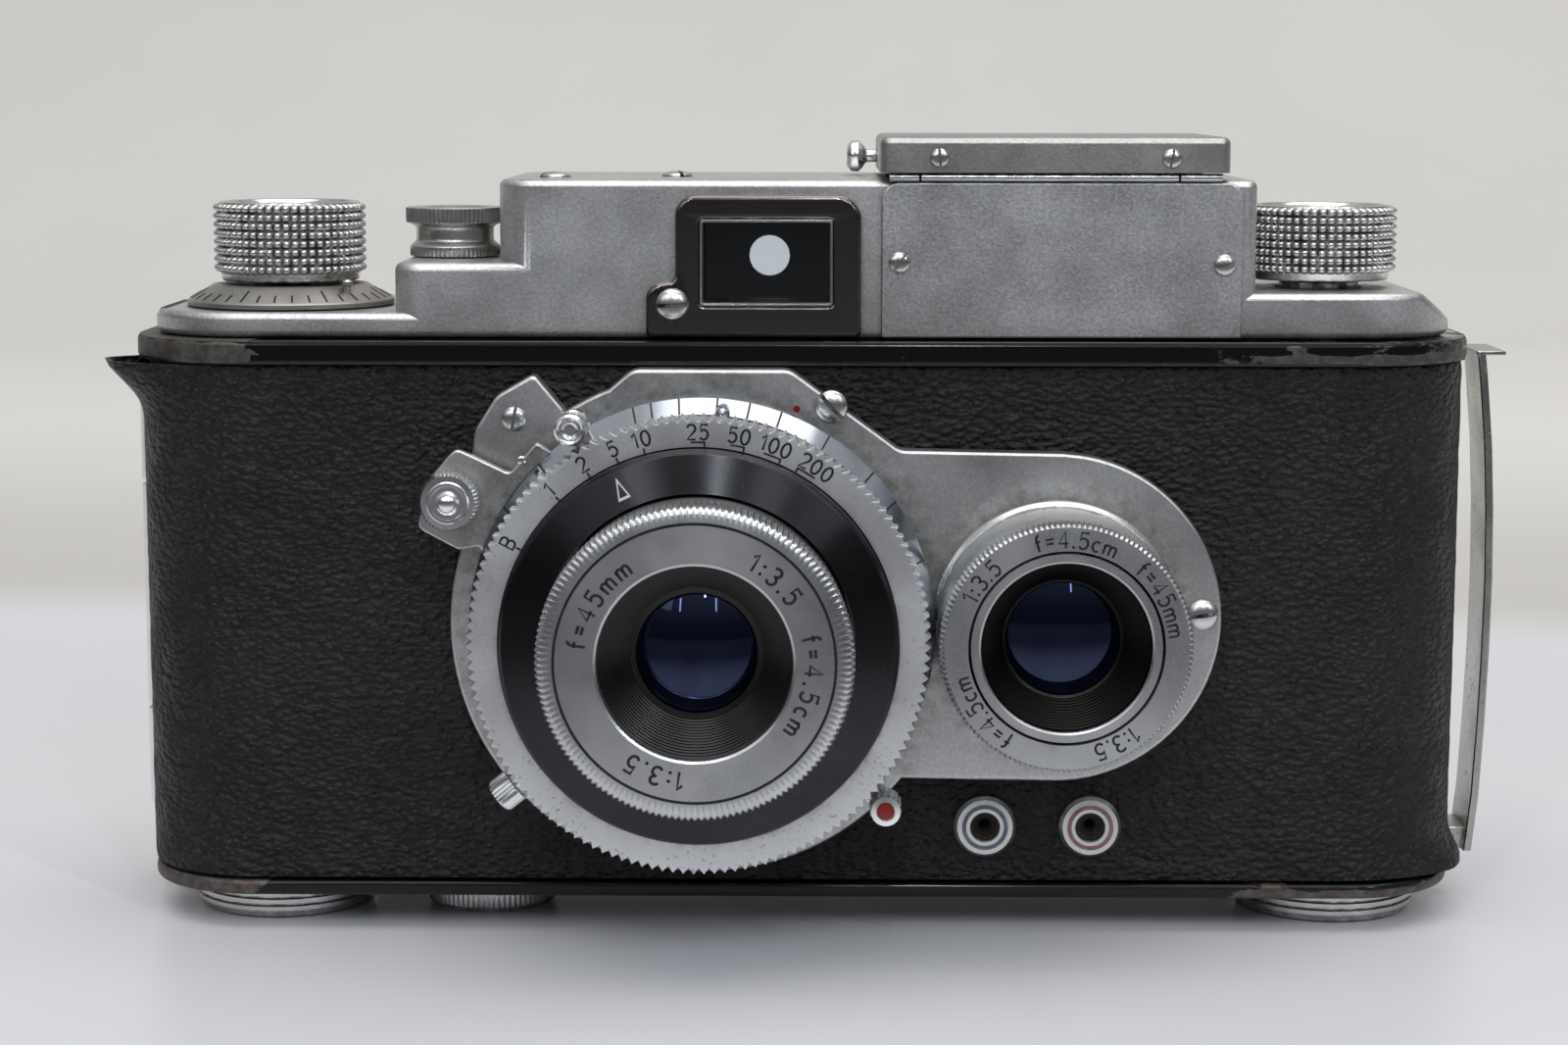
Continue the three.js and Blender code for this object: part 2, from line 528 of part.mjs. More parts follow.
const viewingRing = () => turned('y', VIEW.x, VIEW.z, [
  [9.85, -18.7], [12.3, -18.7], [12.73, -18.2], [12.73, -6.4], [12.2, -5.5], [9.85, -5.5], [9.85, -18.7],
], 32);

const viewingElement = () => turned('y', VIEW.x, VIEW.z, [
  [0, -12.9], [3.0, -12.7], [5.6, -12.2], [8.5, -12.2], [8.5, -9.4], [5.6, -9.2], [0, -8.8],
], 24);

const flashSocket = (x) => turned('y', x, 11.7, [
  [0, 5.2], [0.4, 5.2], [0.4, 0.2], [0, 0.0],
].reverse(), 8).add(turned('y', x, 11.7, [
  [0, 5.0], [1.5, 5.0], [1.5, -0.9], [2.9, -0.9], [3.3, -0.5], [3.3, -0.1], [2.8, -0.1], [2.8, 8.0], [0, 8.0],
], 20));

// ---- assembly -------------------------------------------------------------------------------
const SILVER = 0xb9bbbd;
const CHROME = 0xc9cbce;
const BLACK = 0x151517;
const LEATHER = 0x1b1b1d;
const GLASS = 0x24304f;
const camera = new THREE.Group();
camera.name = 'camera';

function place(name, shape, colour, roughness, metalness) {
  camera.add(piece(name, shape, colour, roughness, metalness));
}

place('body_shell', bodyShell(), BLACK, 0.4, 0.6);
place('front_leather', frontLeather(), LEATHER, 0.8, 0);
place('back_door', backDoor(), BLACK, 0.45, 0.5);
place('door_leather', leatherWrap(SEAM_Y + 0.2, BODY_DEPTH, false, true, SEAM_Y - 2, BODY_DEPTH - SKIN),
  LEATHER, 0.8, 0);
place('body_hinge_leaf', bodyHinge(), CHROME, 0.3, 1);
place('door_hinge_leaf', doorHinge(), CHROME, 0.3, 1);
place('pressure_plate', pressurePlate(), BLACK, 0.3, 0.8);
place('base_plate', basePlate(), BLACK, 0.4, 0.6);
place('foot_left', foot(-57.2), CHROME, 0.3, 1);
place('foot_right', foot(58.1), CHROME, 0.3, 1);
place('tripod_bush', tripodBush(), CHROME, 0.3, 1);
place('side_latch', sideLatch(), CHROME, 0.2, 1);
place('top_cover', topCover(), SILVER, 0.45, 0.9);
place('advance_knob', knob(SPOOL, 68.9, 77.4), CHROME, 0.25, 1);
place('advance_shaft', advanceShaft(), CHROME, 0.3, 1);
place('counter_dial', counterDial(), SILVER, 0.4, 0.9);
place('takeup_spool', takeupSpool(), BLACK, 0.5, 0);
place('sprocket', sprocket(), CHROME, 0.3, 1);
place('rewind_knob', knob(CASSETTE, 69.2, 77.2), CHROME, 0.25, 1);
place('rewind_shaft', rewindShaft(), CHROME, 0.3, 1);
place('rewind_sleeve', rewindSleeve(), CHROME, 0.3, 1);
place('release_collar', releaseCollar(), CHROME, 0.3, 1);
place('release_button', releaseButton(), CHROME, 0.3, 1);
place('finder_frame', finderFrame(), CHROME, 0.1, 1);
place('finder_tube', finderTube(), BLACK, 0.7, 0);
place('finder_glass', finderGlass(), GLASS, 0.05, 0);
place('eyepiece', eyepiece(), CHROME, 0.3, 1);
place('nameplate', nameplate(), SILVER, 0.35, 0.9);
place('hood_well', hoodWell(), BLACK, 0.7, 0.2);
place('ground_glass', groundGlass(), 0xd6dad8, 0.5, 0);
place('hood_lid', hoodLid(), SILVER, 0.4, 0.9);
place('hood_flap_left', hoodFlap(-1), BLACK, 0.6, 0.3);
place('hood_flap_right', hoodFlap(1), BLACK, 0.6, 0.3);
place('magnifier_arm', magnifierArm(), BLACK, 0.4, 0.6);
place('magnifier_lens', magnifierLens(), GLASS, 0.05, 0);
place('hood_catch', hoodCatch(), CHROME, 0.3, 1);
place('mirror_carrier', mirrorCarrier(), BLACK, 0.7, 0.2);
place('mirror', mirror(), 0xdfe3e6, 0.03, 1);
place('lens_plate', lensPlate(), SILVER, 0.4, 0.9);
place('focus_ring', focusRing(), CHROME, 0.15, 1);
place('focus_lever', focusLever(), CHROME, 0.3, 1);
place('taking_barrel', takingBarrel(), BLACK, 0.5, 0.7);
place('shutter_case', shutterCase(), BLACK, 0.4, 0.6);
place('shutter_blade_left', shutterBlade(-1, -12.8), BLACK, 0.3, 0.8);
place('shutter_blade_right', shutterBlade(1, -12.0), BLACK, 0.3, 0.8);
place('speed_ring', speedRing(), SILVER, 0.4, 0.9);
place('index_ring', indexRing(), BLACK, 0.2, 0.4);
place('lens_front_ring', lensFrontRing(), CHROME, 0.3, 1);
place('lens_cone', lensCone(), BLACK, 0.5, 0.2);
place('front_element', frontElement(), GLASS, 0.03, 0);
place('rear_element', rearElement(), GLASS, 0.03, 0);
place('cocking_lever', ringLever(120, true, 1.6, 25.4, -17.2, -11.3), CHROME, 0.3, 1);
place('aperture_lever', ringLever(218.5, false, 1.8, 25.2, 0, 0), CHROME, 0.3, 1);
place('timer_lever', ringLever(318.4, true, 1.5, 25.4, -17.2, -11.3), CHROME, 0.3, 1);
place('viewing_flange', viewingFlange(), CHROME, 0.2, 1);
place('viewing_cell', viewingCell(), CHROME, 0.3, 1);
place('viewing_ring', viewingRing(), CHROME, 0.3, 1);
place('viewing_element', viewingElement(), GLASS, 0.03, 0);
place('flash_socket_left', flashSocket(19.8), CHROME, 0.3, 1);
place('flash_socket_right', flashSocket(31.0), CHROME, 0.3, 1);

const group = new THREE.Group();
camera.position.set(CENTRE.x, CENTRE.y, 0);
group.add(camera);

export default group;
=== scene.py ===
"""Side-by-side twin-lens reflex camera for 35 mm film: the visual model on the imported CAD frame.

Shapes are written in millimetres in the camera's own axes: X = 0 is the middle of the body, Y = 0 is
the front of the leather, Z = 0 is the underside of the feet, and the lenses point along -Y.
"""

import math

import bmesh
import bpy
from mathutils import Matrix, Vector, noise


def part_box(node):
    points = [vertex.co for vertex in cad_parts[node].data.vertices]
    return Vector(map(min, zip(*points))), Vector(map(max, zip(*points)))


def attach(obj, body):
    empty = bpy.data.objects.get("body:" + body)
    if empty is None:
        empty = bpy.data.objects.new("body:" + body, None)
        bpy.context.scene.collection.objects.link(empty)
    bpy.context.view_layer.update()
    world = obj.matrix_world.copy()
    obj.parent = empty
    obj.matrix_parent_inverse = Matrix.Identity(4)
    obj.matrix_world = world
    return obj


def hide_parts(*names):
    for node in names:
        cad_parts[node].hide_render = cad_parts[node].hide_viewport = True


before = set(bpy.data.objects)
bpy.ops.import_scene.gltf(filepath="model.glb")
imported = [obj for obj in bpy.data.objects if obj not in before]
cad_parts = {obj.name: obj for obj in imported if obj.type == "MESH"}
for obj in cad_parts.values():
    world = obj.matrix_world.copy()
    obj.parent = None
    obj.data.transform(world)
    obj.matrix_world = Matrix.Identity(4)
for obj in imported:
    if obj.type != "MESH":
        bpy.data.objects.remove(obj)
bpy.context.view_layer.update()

# ---- driving dimensions, in millimetres ----------------------------------------------------------
MM = 0.001
SHIFT_X = (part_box("body_shell")[0].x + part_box("body_shell")[1].x) / 2
SHIFT_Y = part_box("front_leather")[0].y
BODY_HALF = 71.4
BODY_DEPTH = 35.0
CORNER = 12.6
SEAM_Y = 22.0
LEATHER = {"z0": 5.75, "z1": 60.7, "thick": 0.6}
BAND = {"half": 71.86, "z0": 60.85, "z1": 63.36}
BASE = {"half": 71.1, "z0": 3.8, "z1": 5.4}
COVER_Z = 63.45
HOUSE = {"x0": -31.9, "x1": 47.9, "top": 80.1, "front": 2.6, "corner": 4.0}
STEP = {"x0": -43.0, "z0": 66.1, "z1": 71.4, "corner": 3.0}
SPOOL = (-55.73, 15.0)
CASSETTE = (56.3, 15.0)
COLLAR = (-37.7, 15.0)
TAKE = (-10.08, 33.85)
VIEW = (26.84, 34.24)
WELL = {"x0": 9.7, "x1": 43.4, "y0": 4.2, "y1": 28.6}
LID = {"x0": 8.3, "x1": 44.8, "y0": 1.0, "y1": 30.2, "z0": 80.9, "z1": 84.6}
CATCH = (22, 82.2)
EYE = (-3.7, 70.7)
SOCKETS = (19.8, 31.0)
SOCKET_Z = 11.7
FEET_X = (-57.2, 58.1)
FOOT_Y = 13.6
BUSH_X = -34.3
HINGE = (-72.9, 22.0)
STRIP = {"y0": 14.0, "y1": 22.0}
DECK = {"left": -69.9, "right": 69.7, "slope_x": 65.6, "slope_z": 65.2, "high_x": 30.0, "high": 68.3}
COVER_WALL = 1.2
FINDER = {"x0": -10.4, "x1": 3.3, "z0": 67.1, "z1": 75.9}
LEVER_BUTTON = (-35.9, 47.6)
SPEED_FRONT = -16.2
TAKE_FRONT = -25.7
VIEW_FRONT = -18.7


# ---- meshes --------------------------------------------------------------------------------------
class Shape:
    """Vertices in millimetres and the faces between them."""

    def __init__(self, verts=(), faces=()):
        self.verts = [tuple(v) for v in verts]
        self.faces = [tuple(f) for f in faces]

    def __add__(self, other):
        n = len(self.verts)
        moved = [tuple(i + n for i in f) for f in other.faces]
        return Shape(self.verts + other.verts, self.faces + moved)

    def mapped(self, place):
        return Shape([place(*v) for v in self.verts], self.faces)


def total(shapes):
    whole = Shape()
    for shape in shapes:
        whole = whole + shape
    return whole


def to_mesh(shape, name="shape", weld=0.0):
    """A mesh with its faces turned outwards; points closer than weld are made one."""
    mesh = bpy.data.meshes.new(name)
    mesh.from_pydata(shape.verts, [], shape.faces)
    work = bmesh.new()
    work.from_mesh(mesh)
    if weld:
        bmesh.ops.remove_doubles(work, verts=work.verts, dist=weld)
        bmesh.ops.dissolve_degenerate(work, edges=work.edges, dist=weld)
    bmesh.ops.recalc_face_normals(work, faces=work.faces)
    work.to_mesh(mesh)
    work.free()
    return mesh


def from_mesh(mesh):
    return Shape([v.co[:] for v in mesh.vertices], [p.vertices[:] for p in mesh.polygons])


def linked(name, data):
    thing = bpy.data.objects.new(name, data)
    bpy.context.scene.collection.objects.link(thing)
    return thing


def temporary(shape):
    """A working object, removed once it has been used."""
    return linked("work", to_mesh(shape))


def baked(thing):
    """The shape of an object with its modifiers applied; the object is removed."""
    graph = bpy.context.evaluated_depsgraph_get()
    mesh = bpy.data.meshes.new_from_object(thing.evaluated_get(graph))
    shape = from_mesh(mesh)
    data = thing.data
    bpy.data.objects.remove(thing)
    bpy.data.meshes.remove(mesh)
    if isinstance(data, bpy.types.Mesh):
        bpy.data.meshes.remove(data)
    else:
        bpy.data.curves.remove(data)
    return shape


def combined(shape, others, operation="DIFFERENCE", bevel=0.0, segments=3, angle=40.0, solver="EXACT"):
    """A shape cut by, joined to or kept inside others, then with its sharp edges rounded."""
    thing = temporary(shape)
    helpers = [temporary(other) for other in others]
    for helper in helpers:
        step = thing.modifiers.new("cut", "BOOLEAN")
        step.operation = operation
        step.solver = solver
        step.object = helper
    if bevel:
        step = thing.modifiers.new("tidy", "WELD")
        step.merge_threshold = 0.004
        step = thing.modifiers.new("round", "BEVEL")
        step.width = bevel
        step.segments = segments
        step.limit_method = "ANGLE"
        step.angle_limit = math.radians(angle)
        step.use_clamp_overlap = False
        step.miter_outer = "MITER_ARC"
    result = baked(thing)
    for helper in helpers:
        mesh = helper.data
        bpy.data.objects.remove(helper)
        bpy.data.meshes.remove(mesh)
    return result


def in_frame(x, y, z):
    """A point of the camera's own axes, in millimetres, as metres in the shared frame."""
    return x * MM + SHIFT_X, y * MM + SHIFT_Y, z * MM


def piece(name, shape, finish, body, stands_for=(), sharp=32.0):
    """Makes the object in the shared frame, in metres, and ties it to its body."""
    mesh = to_mesh(shape.mapped(in_frame), name)
    mesh.polygons.foreach_set("use_smooth", [True] * len(mesh.polygons))
    mesh.set_sharp_from_angle(angle=math.radians(sharp))
    mesh.materials.append(finish.material)
    thing = linked(name, mesh)
    level = thing.modifiers.new("level", "WEIGHTED_NORMAL")
    level.keep_sharp = True
    level.weight = 80
    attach(thing, body)
    if stands_for:
        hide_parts(*stands_for)
    return thing


# ---- outlines ------------------------------------------------------------------------------------
def rounded(points, radii, steps=5, is_open=False):
    """The points with each corner turned into an arc of its radius, or of one radius for all."""
    out = []
    count = len(points)
    for i, point in enumerate(points):
        radius = radii[i] if isinstance(radii, (list, tuple)) else radii
        corner = Vector(point)
        if radius <= 0 or (is_open and i in (0, count - 1)):
            out.append(tuple(corner))
            continue
        back = Vector(points[i - 1]) - corner
        ahead = Vector(points[(i + 1) % count]) - corner
        half = back.angle(ahead) / 2
        if half > math.radians(89.5):
            out.append(tuple(corner))
            continue
        reach = min(radius / math.tan(half), back.length * 0.49, ahead.length * 0.49)
        radius = reach * math.tan(half)
        u, v = back.normalized(), ahead.normalized()
        centre = corner + (u + v).normalized() * (radius / math.sin(half))
        start, end = corner + u * reach - centre, corner + v * reach - centre
        a = math.atan2(start.y, start.x)
        turn = (math.atan2(end.y, end.x) - a + math.pi) % (2 * math.pi) - math.pi
        for k in range(steps + 1):
            b = a + turn * k / steps
            out.append((centre.x + radius * math.cos(b), centre.y + radius * math.sin(b)))
    return out


def rectangle(x0, x1, z0, z1, radii, steps):
    return rounded([(x0, z0), (x1, z0), (x1, z1), (x0, z1)], radii, steps)


def plan(half, y0, y1, radius, steps=16):
    """The camera's outline from above."""
    return rounded([(half, y0), (half, y1), (-half, y1), (-half, y0)], radius, steps)


def arc(cx, cy, rx, ry, start, end, steps=10):
    """Points along an arc of an ellipse, angles in degrees."""
    turns = [math.radians(start + (end - start) * k / steps) for k in range(steps + 1)]
    return [(cx + rx * math.cos(a), cy + ry * math.sin(a)) for a in turns]


def circle(cx, cy, r, count=64):
    return arc(cx, cy, r, r, 0, 360, count)[:-1]


def closed(points):
    """An outline that comes back to its first point; lathe() makes a ring of it."""
    return points + points[:1]


def clock(centre, r, degrees):
    """A point at a distance from a centre, at an angle clockwise from the top."""
    a = math.radians(degrees)
    return centre[0] + r * math.sin(a), centre[1] + r * math.cos(a)


# ---- solids --------------------------------------------------------------------------------------
def onto(axis, u, v, w):
    """(u, v) across and w along the axis, as (x, y, z)."""
    return {"x": (w, u, v), "y": (u, w, v), "z": (u, v, w)}[axis]


def lathe(profile, centre, axis="y", segments=96, radius=None):
    """A profile of (radius, height) turned about an axis. A profile that ends where it starts is a ring."""
    is_ring = profile[0] == profile[-1]
    rows = profile[:-1] if is_ring else profile
    verts, loops = [], []
    for r, h in rows:
        loops.append([])
        for i in range(1 if r < 1e-6 else segments):
            a = 2 * math.pi * i / segments
            reach = radius(r, h, a) if radius and r > 1e-6 else r
            loops[-1].append(len(verts))
            u, v = centre[0] + reach * math.cos(a), centre[1] + reach * math.sin(a)
            verts.append(onto(axis, u, v, h))
    faces = []
    following = loops[1:] + loops[:1] if is_ring else loops[1:]
    for low, high in zip(loops, following):
        for i in range(segments):
            j = (i + 1) % segments
            quad = [low[i % len(low)], low[j % len(low)], high[j % len(high)], high[i % len(high)]]
            corners = tuple(dict.fromkeys(quad))
            if len(corners) > 2:
                faces.append(corners)
    if not is_ring:
        faces += [tuple(loop) for loop in (loops[0], loops[-1]) if len(loop) > 1]
    return Shape(verts, faces)


def knurl(count, depth, low, high, inside=0.0):
    """A radius for lathe(): pointed grooves along the axis between two heights."""
    def radius(r, h, a):
        if not low <= h <= high or r < inside:
            return r
        wave = abs((a * count / (2 * math.pi)) % 1.0 * 2 - 1)
        return r - depth * (1 - wave)
    return radius


def knurled(profile, centre, count, depth, low, high, inside, axis="y"):
    """A turned shape with pointed grooves cut along its side."""
    return lathe(profile, centre, axis, count * 4, knurl(count, depth, low, high, inside))


def plate(loops, low, high, axis="y", bevel=0.2, rounds=3):
    """A flat plate; the first loop is its outline and the others are holes. Its edges are rounded."""
    curve = bpy.data.curves.new("plate", "CURVE")
    curve.dimensions = "2D"
    curve.fill_mode = "BOTH"
    curve.extrude = (high - low) / 2 - bevel
    curve.bevel_depth = bevel
    curve.bevel_resolution = rounds
    curve.offset = -bevel
    for loop in loops:
        line = curve.splines.new("POLY")
        line.points.add(len(loop) - 1)
        for point, (u, v) in zip(line.points, loop):
            point.co = (u, v, 0, 1)
        line.use_cyclic_u = True
    flat = baked(linked("work", curve))
    middle = (low + high) / 2
    return welded(flat.mapped(lambda u, v, w: onto(axis, u, v, middle + w)), 0.002)


def welded(shape, distance):
    mesh = to_mesh(shape, weld=distance)
    result = from_mesh(mesh)
    bpy.data.meshes.remove(mesh)
    return result


def prism(outline, low, high, axis="y"):
    """A straight-sided solid, for cutting with and for shapes that are rounded later."""
    n = len(outline)
    verts = [onto(axis, u, v, w) for w in (low, high) for u, v in outline]
    sides = [(i, (i + 1) % n, n + (i + 1) % n, n + i) for i in range(n)]
    return Shape(verts, [tuple(range(n)), tuple(range(2 * n - 1, n - 1, -1))] + sides)


def block(x, y, z, bevel=0.3, segments=3):
    """A box between pairs of x, y and z, with rounded edges."""
    work = bmesh.new()
    bmesh.ops.create_cube(work, size=1)
    for v in work.verts:
        v.co = [a[0] if c < 0 else a[1] for c, a in zip(v.co, (x, y, z))]
    if bevel:
        edges = work.edges[:]
        bmesh.ops.bevel(work, geom=edges, offset=bevel, segments=segments, profile=0.5, affect="EDGES")
    work.verts.index_update()
    shape = Shape([v.co[:] for v in work.verts], [[v.index for v in f.verts] for f in work.faces])
    work.free()
    return shape


def rod(centre, r, low, high, axis="y", segments=64, bevel=0.0):
    """A plain cylinder between two heights; its rims can be rounded."""
    ends = [(0, low), (r, low), (r, high), (0, high)]
    return lathe(rounded(ends, bevel, 3, is_open=True) if bevel else ends, centre, axis, segments)


def turned_about(shape, centre, degrees):
    """A shape turned about a vertical line and moved to its centre."""
    sine, cosine = math.sin(math.radians(degrees)), math.cos(math.radians(degrees))
    cx, cy = centre
    return shape.mapped(lambda x, y, z: (cx + x * cosine - y * sine, cy + x * sine + y * cosine, z))


def standing_at(centre, degrees):
    """Places (out from a centre, across, along Y) at an angle clockwise from the top."""
    def place(out, across, y):
        x, z = clock(centre, out, degrees)
        dx, dz = clock((0, 0), across, degrees + 90)
        return x + dx, y, z + dz
    return place


def screw(at, r, slot_turn=0.0, dome=0.5, rim=0.25, facing="-y"):
    """A slotted screw head that stands on a surface; at is the middle of its underside."""
    profile = [(0, -0.3), (r, -0.3)]
    profile += arc(0, rim, r, dome, 0, 90, 6)[:-1]
    profile.append((0, rim + dome))
    slot = block((-r * 1.2, r * 1.2), (-r * 0.13, r * 0.13), (rim - dome * 0.3, rim + dome + 1), 0)
    head = combined(lathe(profile, (0, 0), "z", 40), [turned_about(slot, (0, 0), slot_turn)])
    if facing == "-y":
        return head.mapped(lambda x, y, z: (at[0] + x, at[1] - z, at[2] + y))
    return head.mapped(lambda x, y, z: (at[0] + x, at[1] + y, at[2] + z))


def screws(name, body, heads, facing="-y"):
    """The slotted heads that hold one part, as one piece."""
    piece(name, total([screw(*head, facing=facing) for head in heads]), STEEL, body)


# Each sign is its width and its pen strokes; a capital is 1 high.
SIGNS = {
    "0": (0.56, [arc(0.28, 0.5, 0.28, 0.5, 0, 360, 20)]),
    "1": (0.30, [[(0.0, 0.76), (0.24, 1.0), (0.24, 0.0)]]),
    "2": (0.56, [arc(0.28, 0.72, 0.27, 0.28, 165, -35) + [(0.0, 0.0), (0.56, 0.0)]]),
    "3": (0.54, [arc(0.26, 0.76, 0.25, 0.24, 150, -90) + arc(0.26, 0.27, 0.28, 0.27, 85, -150)]),
    "4": (0.60, [[(0.44, 0.0), (0.44, 1.0), (0.0, 0.3), (0.6, 0.3)]]),
    "5": (0.54, [[(0.5, 1.0), (0.09, 1.0), (0.04, 0.54)] + arc(0.25, 0.33, 0.29, 0.33, 130, -145)]),
    "B": (0.56, [[(0.0, 0.52), (0.3, 0.52)] + arc(0.3, 0.76, 0.22, 0.24, -90, 90) + [(0.0, 1.0), (0.0, 0.0)]
                 + arc(0.3, 0.26, 0.26, 0.26, -90, 90)]),
    "f": (0.36, [[(0.14, 0.0), (0.14, 0.78)] + arc(0.34, 0.8, 0.2, 0.2, 180, 90, 6),
                 [(0.0, 0.62), (0.34, 0.62)]]),
    "=": (0.46, [[(0.0, 0.36), (0.46, 0.36)], [(0.0, 0.62), (0.46, 0.62)]]),
    ".": (0.08, [[(-0.03, 0.05), (0.11, 0.05)], [(0.04, -0.02), (0.04, 0.12)]]),
    ":": (0.08, [[(-0.03, y), (0.11, y)] for y in (0.13, 0.62)]
          + [[(0.04, y - 0.07), (0.04, y + 0.07)] for y in (0.13, 0.62)]),
    "c": (0.44, [arc(0.25, 0.31, 0.25, 0.31, 50, 310)]),
    "m": (0.72, [[(0.0, 0.0), (0.0, 0.62)]] + [
        [(x, 0.4)] + arc(x + 0.18, 0.44, 0.18, 0.18, 180, 0, 8) + [(x + 0.36, 0.0)] for x in (0.0, 0.36)]),
}


def lettering(text, height, pen, gap=0.26):
    """Signs drawn with a round pen, centred on the origin, standing up along +Y in the XY plane."""
    curve = bpy.data.curves.new("letters", "CURVE")
    curve.dimensions = "3D"
    curve.bevel_depth = pen / 2
    curve.bevel_resolution = 1
    curve.use_fill_caps = True
    width = (sum(SIGNS[sign][0] + gap for sign in text) - gap) * height
    start = -width / 2
    for sign in text:
        for stroke in SIGNS[sign][1]:
            line = curve.splines.new("POLY")
            line.points.add(len(stroke) - 1)
            for point, (u, v) in zip(line.points, stroke):
                point.co = (start + u * height, (v - 0.5) * height, 0, 1)
        start += (SIGNS[sign][0] + gap) * height
    return welded(baked(linked("work", curve)), 0.001).mapped(lambda u, v, w: (u, v, w * 0.25))


def ring_text(text, height, centre, r, degrees, y, pen=0.24, gap=0.26):
    """Signs bent round a centre, with their tops outwards, middle at an angle clockwise from the top."""
    def bend(u, v, w):
        x, z = clock(centre, r + v, degrees + math.degrees(u / r))
        return x, y - w, z
    return lettering(text, height, pen, gap).mapped(bend)


def radial_bar(centre, degrees, r0, r1, width, y0, y1):
    """A thin bar along a radius, between two radii, seen as a line on a ring's face."""
    half = width / 2
    bar = prism([(r0, -half), (r1, -half), (r1, half), (r0, half)], y0, y1, "z")
    return bar.mapped(standing_at(centre, degrees))


def cone_line(ends, push, lifts, width=0.2):
    """A line down a cone between two (radius, height) ends, sunk and raised by the lifts along push."""
    corners = [(r + lift * push[0], side, h + lift * push[1])
               for r, h in ends for side in (-width / 2, width / 2) for lift in lifts]
    faces = [(0, 1, 3, 2), (4, 6, 7, 5), (0, 4, 5, 1), (2, 3, 7, 6), (0, 2, 6, 4), (1, 5, 7, 3)]
    return Shape(corners, faces)


# ---- material building ---------------------------------------------------------------------------
# How far the painted corner shade in metal() reaches, in millimetres.
SHADE_AND_GRIME_REACH = 1.6


class Finish:
    """A node material with short names for the nodes that the finishes share. Lengths are in millimetres."""

    def __init__(self, name, colour, metallic, roughness):
        self.material = bpy.data.materials.new(name)
        self.material.use_nodes = True
        self.tree = self.material.node_tree
        self.shader = self.tree.nodes["Principled BSDF"]
        self.set("Base Color", (*colour, 1))
        self.set("Metallic", metallic)
        self.set("Roughness", roughness)

    def feed(self, node, socket, value):
        if isinstance(value, bpy.types.NodeSocket):
            self.tree.links.new(value, node.inputs[socket])
        else:
            node.inputs[socket].default_value = value

    def set(self, socket, value):
        self.feed(self.shader, socket, value)

    def node(self, kind, inputs=None, **settings):
        node = self.tree.nodes.new("ShaderNode" + kind)
        for key, value in settings.items():
            setattr(node, key, value)
        for key, value in (inputs or {}).items():
            self.feed(node, key, value)
        return node

    def place(self, stretch=(1, 1, 1), origin=None):
        """Millimetres along the frame's axes, stretched, from an origin in the camera's own axes if given."""
        where = self.node("TexCoord").outputs["Object"]
        start = in_frame(*origin) if origin else (0, 0, 0)
        moved = self.node("VectorMath", {0: where, 1: start}, operation="SUBTRACT")
        scale = tuple(s * 1000 for s in stretch)
        return self.node("VectorMath", {0: moved.outputs[0], 1: scale}, operation="MULTIPLY").outputs[0]

    def noise(self, size, detail=3.0, rough=0.55, stretch=(1, 1, 1)):
        inputs = {"Vector": self.place(stretch), "Scale": 1 / size, "Detail": detail, "Roughness": rough}
        return self.node("TexNoise", inputs).outputs["Fac"]

    def cells(self, size, stretch):
        inputs = {"Vector": self.place(stretch), "Scale": 1 / size}
        return self.node("TexVoronoi", inputs, feature="SMOOTH_F1").outputs["Distance"]

    def fit(self, value, low, high, out_low=0.0, out_high=1.0):
        """A smooth step from one value to another."""
        inputs = {"Value": value, "From Min": low, "From Max": high, "To Min": out_low, "To Max": out_high}
        return self.node("MapRange", inputs, interpolation_type="SMOOTHSTEP").outputs["Result"]

    def calc(self, operation, a, b):
        return self.node("Math", {0: a, 1: b}, operation=operation).outputs[0]

    def plus(self, a, b):
        return self.calc("ADD", a, b)

    def times(self, a, b):
        return self.calc("MULTIPLY", a, b)

    def blend(self, amount, a, b):
        """One colour turning into another as the amount goes from 0 to 1."""
        ends = [(*end, 1) if isinstance(end, tuple) else end for end in (a, b)]
        return self.node("Mix", {0: amount, 6: ends[0], 7: ends[1]}, data_type="RGBA").outputs[2]

    def raise_by(self, height, depth):
        """Bumps as deep as stated, in millimetres."""
        inputs = {"Height": height, "Distance": depth * MM, "Strength": 1.0}
        self.set("Normal", self.node("Bump", inputs).outputs[0])

    def corners(self):
        """1 in the open, falling towards 0 in a corner: the mask of the painted corner shade."""
        return self.node("AmbientOcclusion", {"Distance": SHADE_AND_GRIME_REACH * MM}, samples=6).outputs["AO"]

    def coordinate(self, axis):
        """Millimetres along one of the camera's own axes."""
        return self.node("SeparateXYZ", {0: self.place(origin=(0, 0, 0))}).outputs[axis]

    def distance_from(self, centre):
        """Millimetres from a lens axis."""
        from_axis = self.place((1, 0, 1), (centre[0], 0, centre[1]))
        return self.node("VectorMath", {0: from_axis}, operation="LENGTH").outputs["Value"]

    def turn_lines(self, centre, line, depth):
        """Fine rings round a lens axis, as a lathe leaves them."""
        inputs = {"W": self.calc("DIVIDE", self.distance_from(centre), line), "Scale": 1.0, "Detail": 2.0}
        self.raise_by(self.node("TexNoise", inputs, noise_dimensions="1D").outputs["Fac"], depth)

    def spin(self, amount):
        """Draws the highlights out along the radius."""
        self.set("Anisotropic", amount)
        self.set("Anisotropic Rotation", 0.25)
        self.set("Tangent", self.node("Tangent", direction_type="RADIAL", axis="Y").outputs[0])


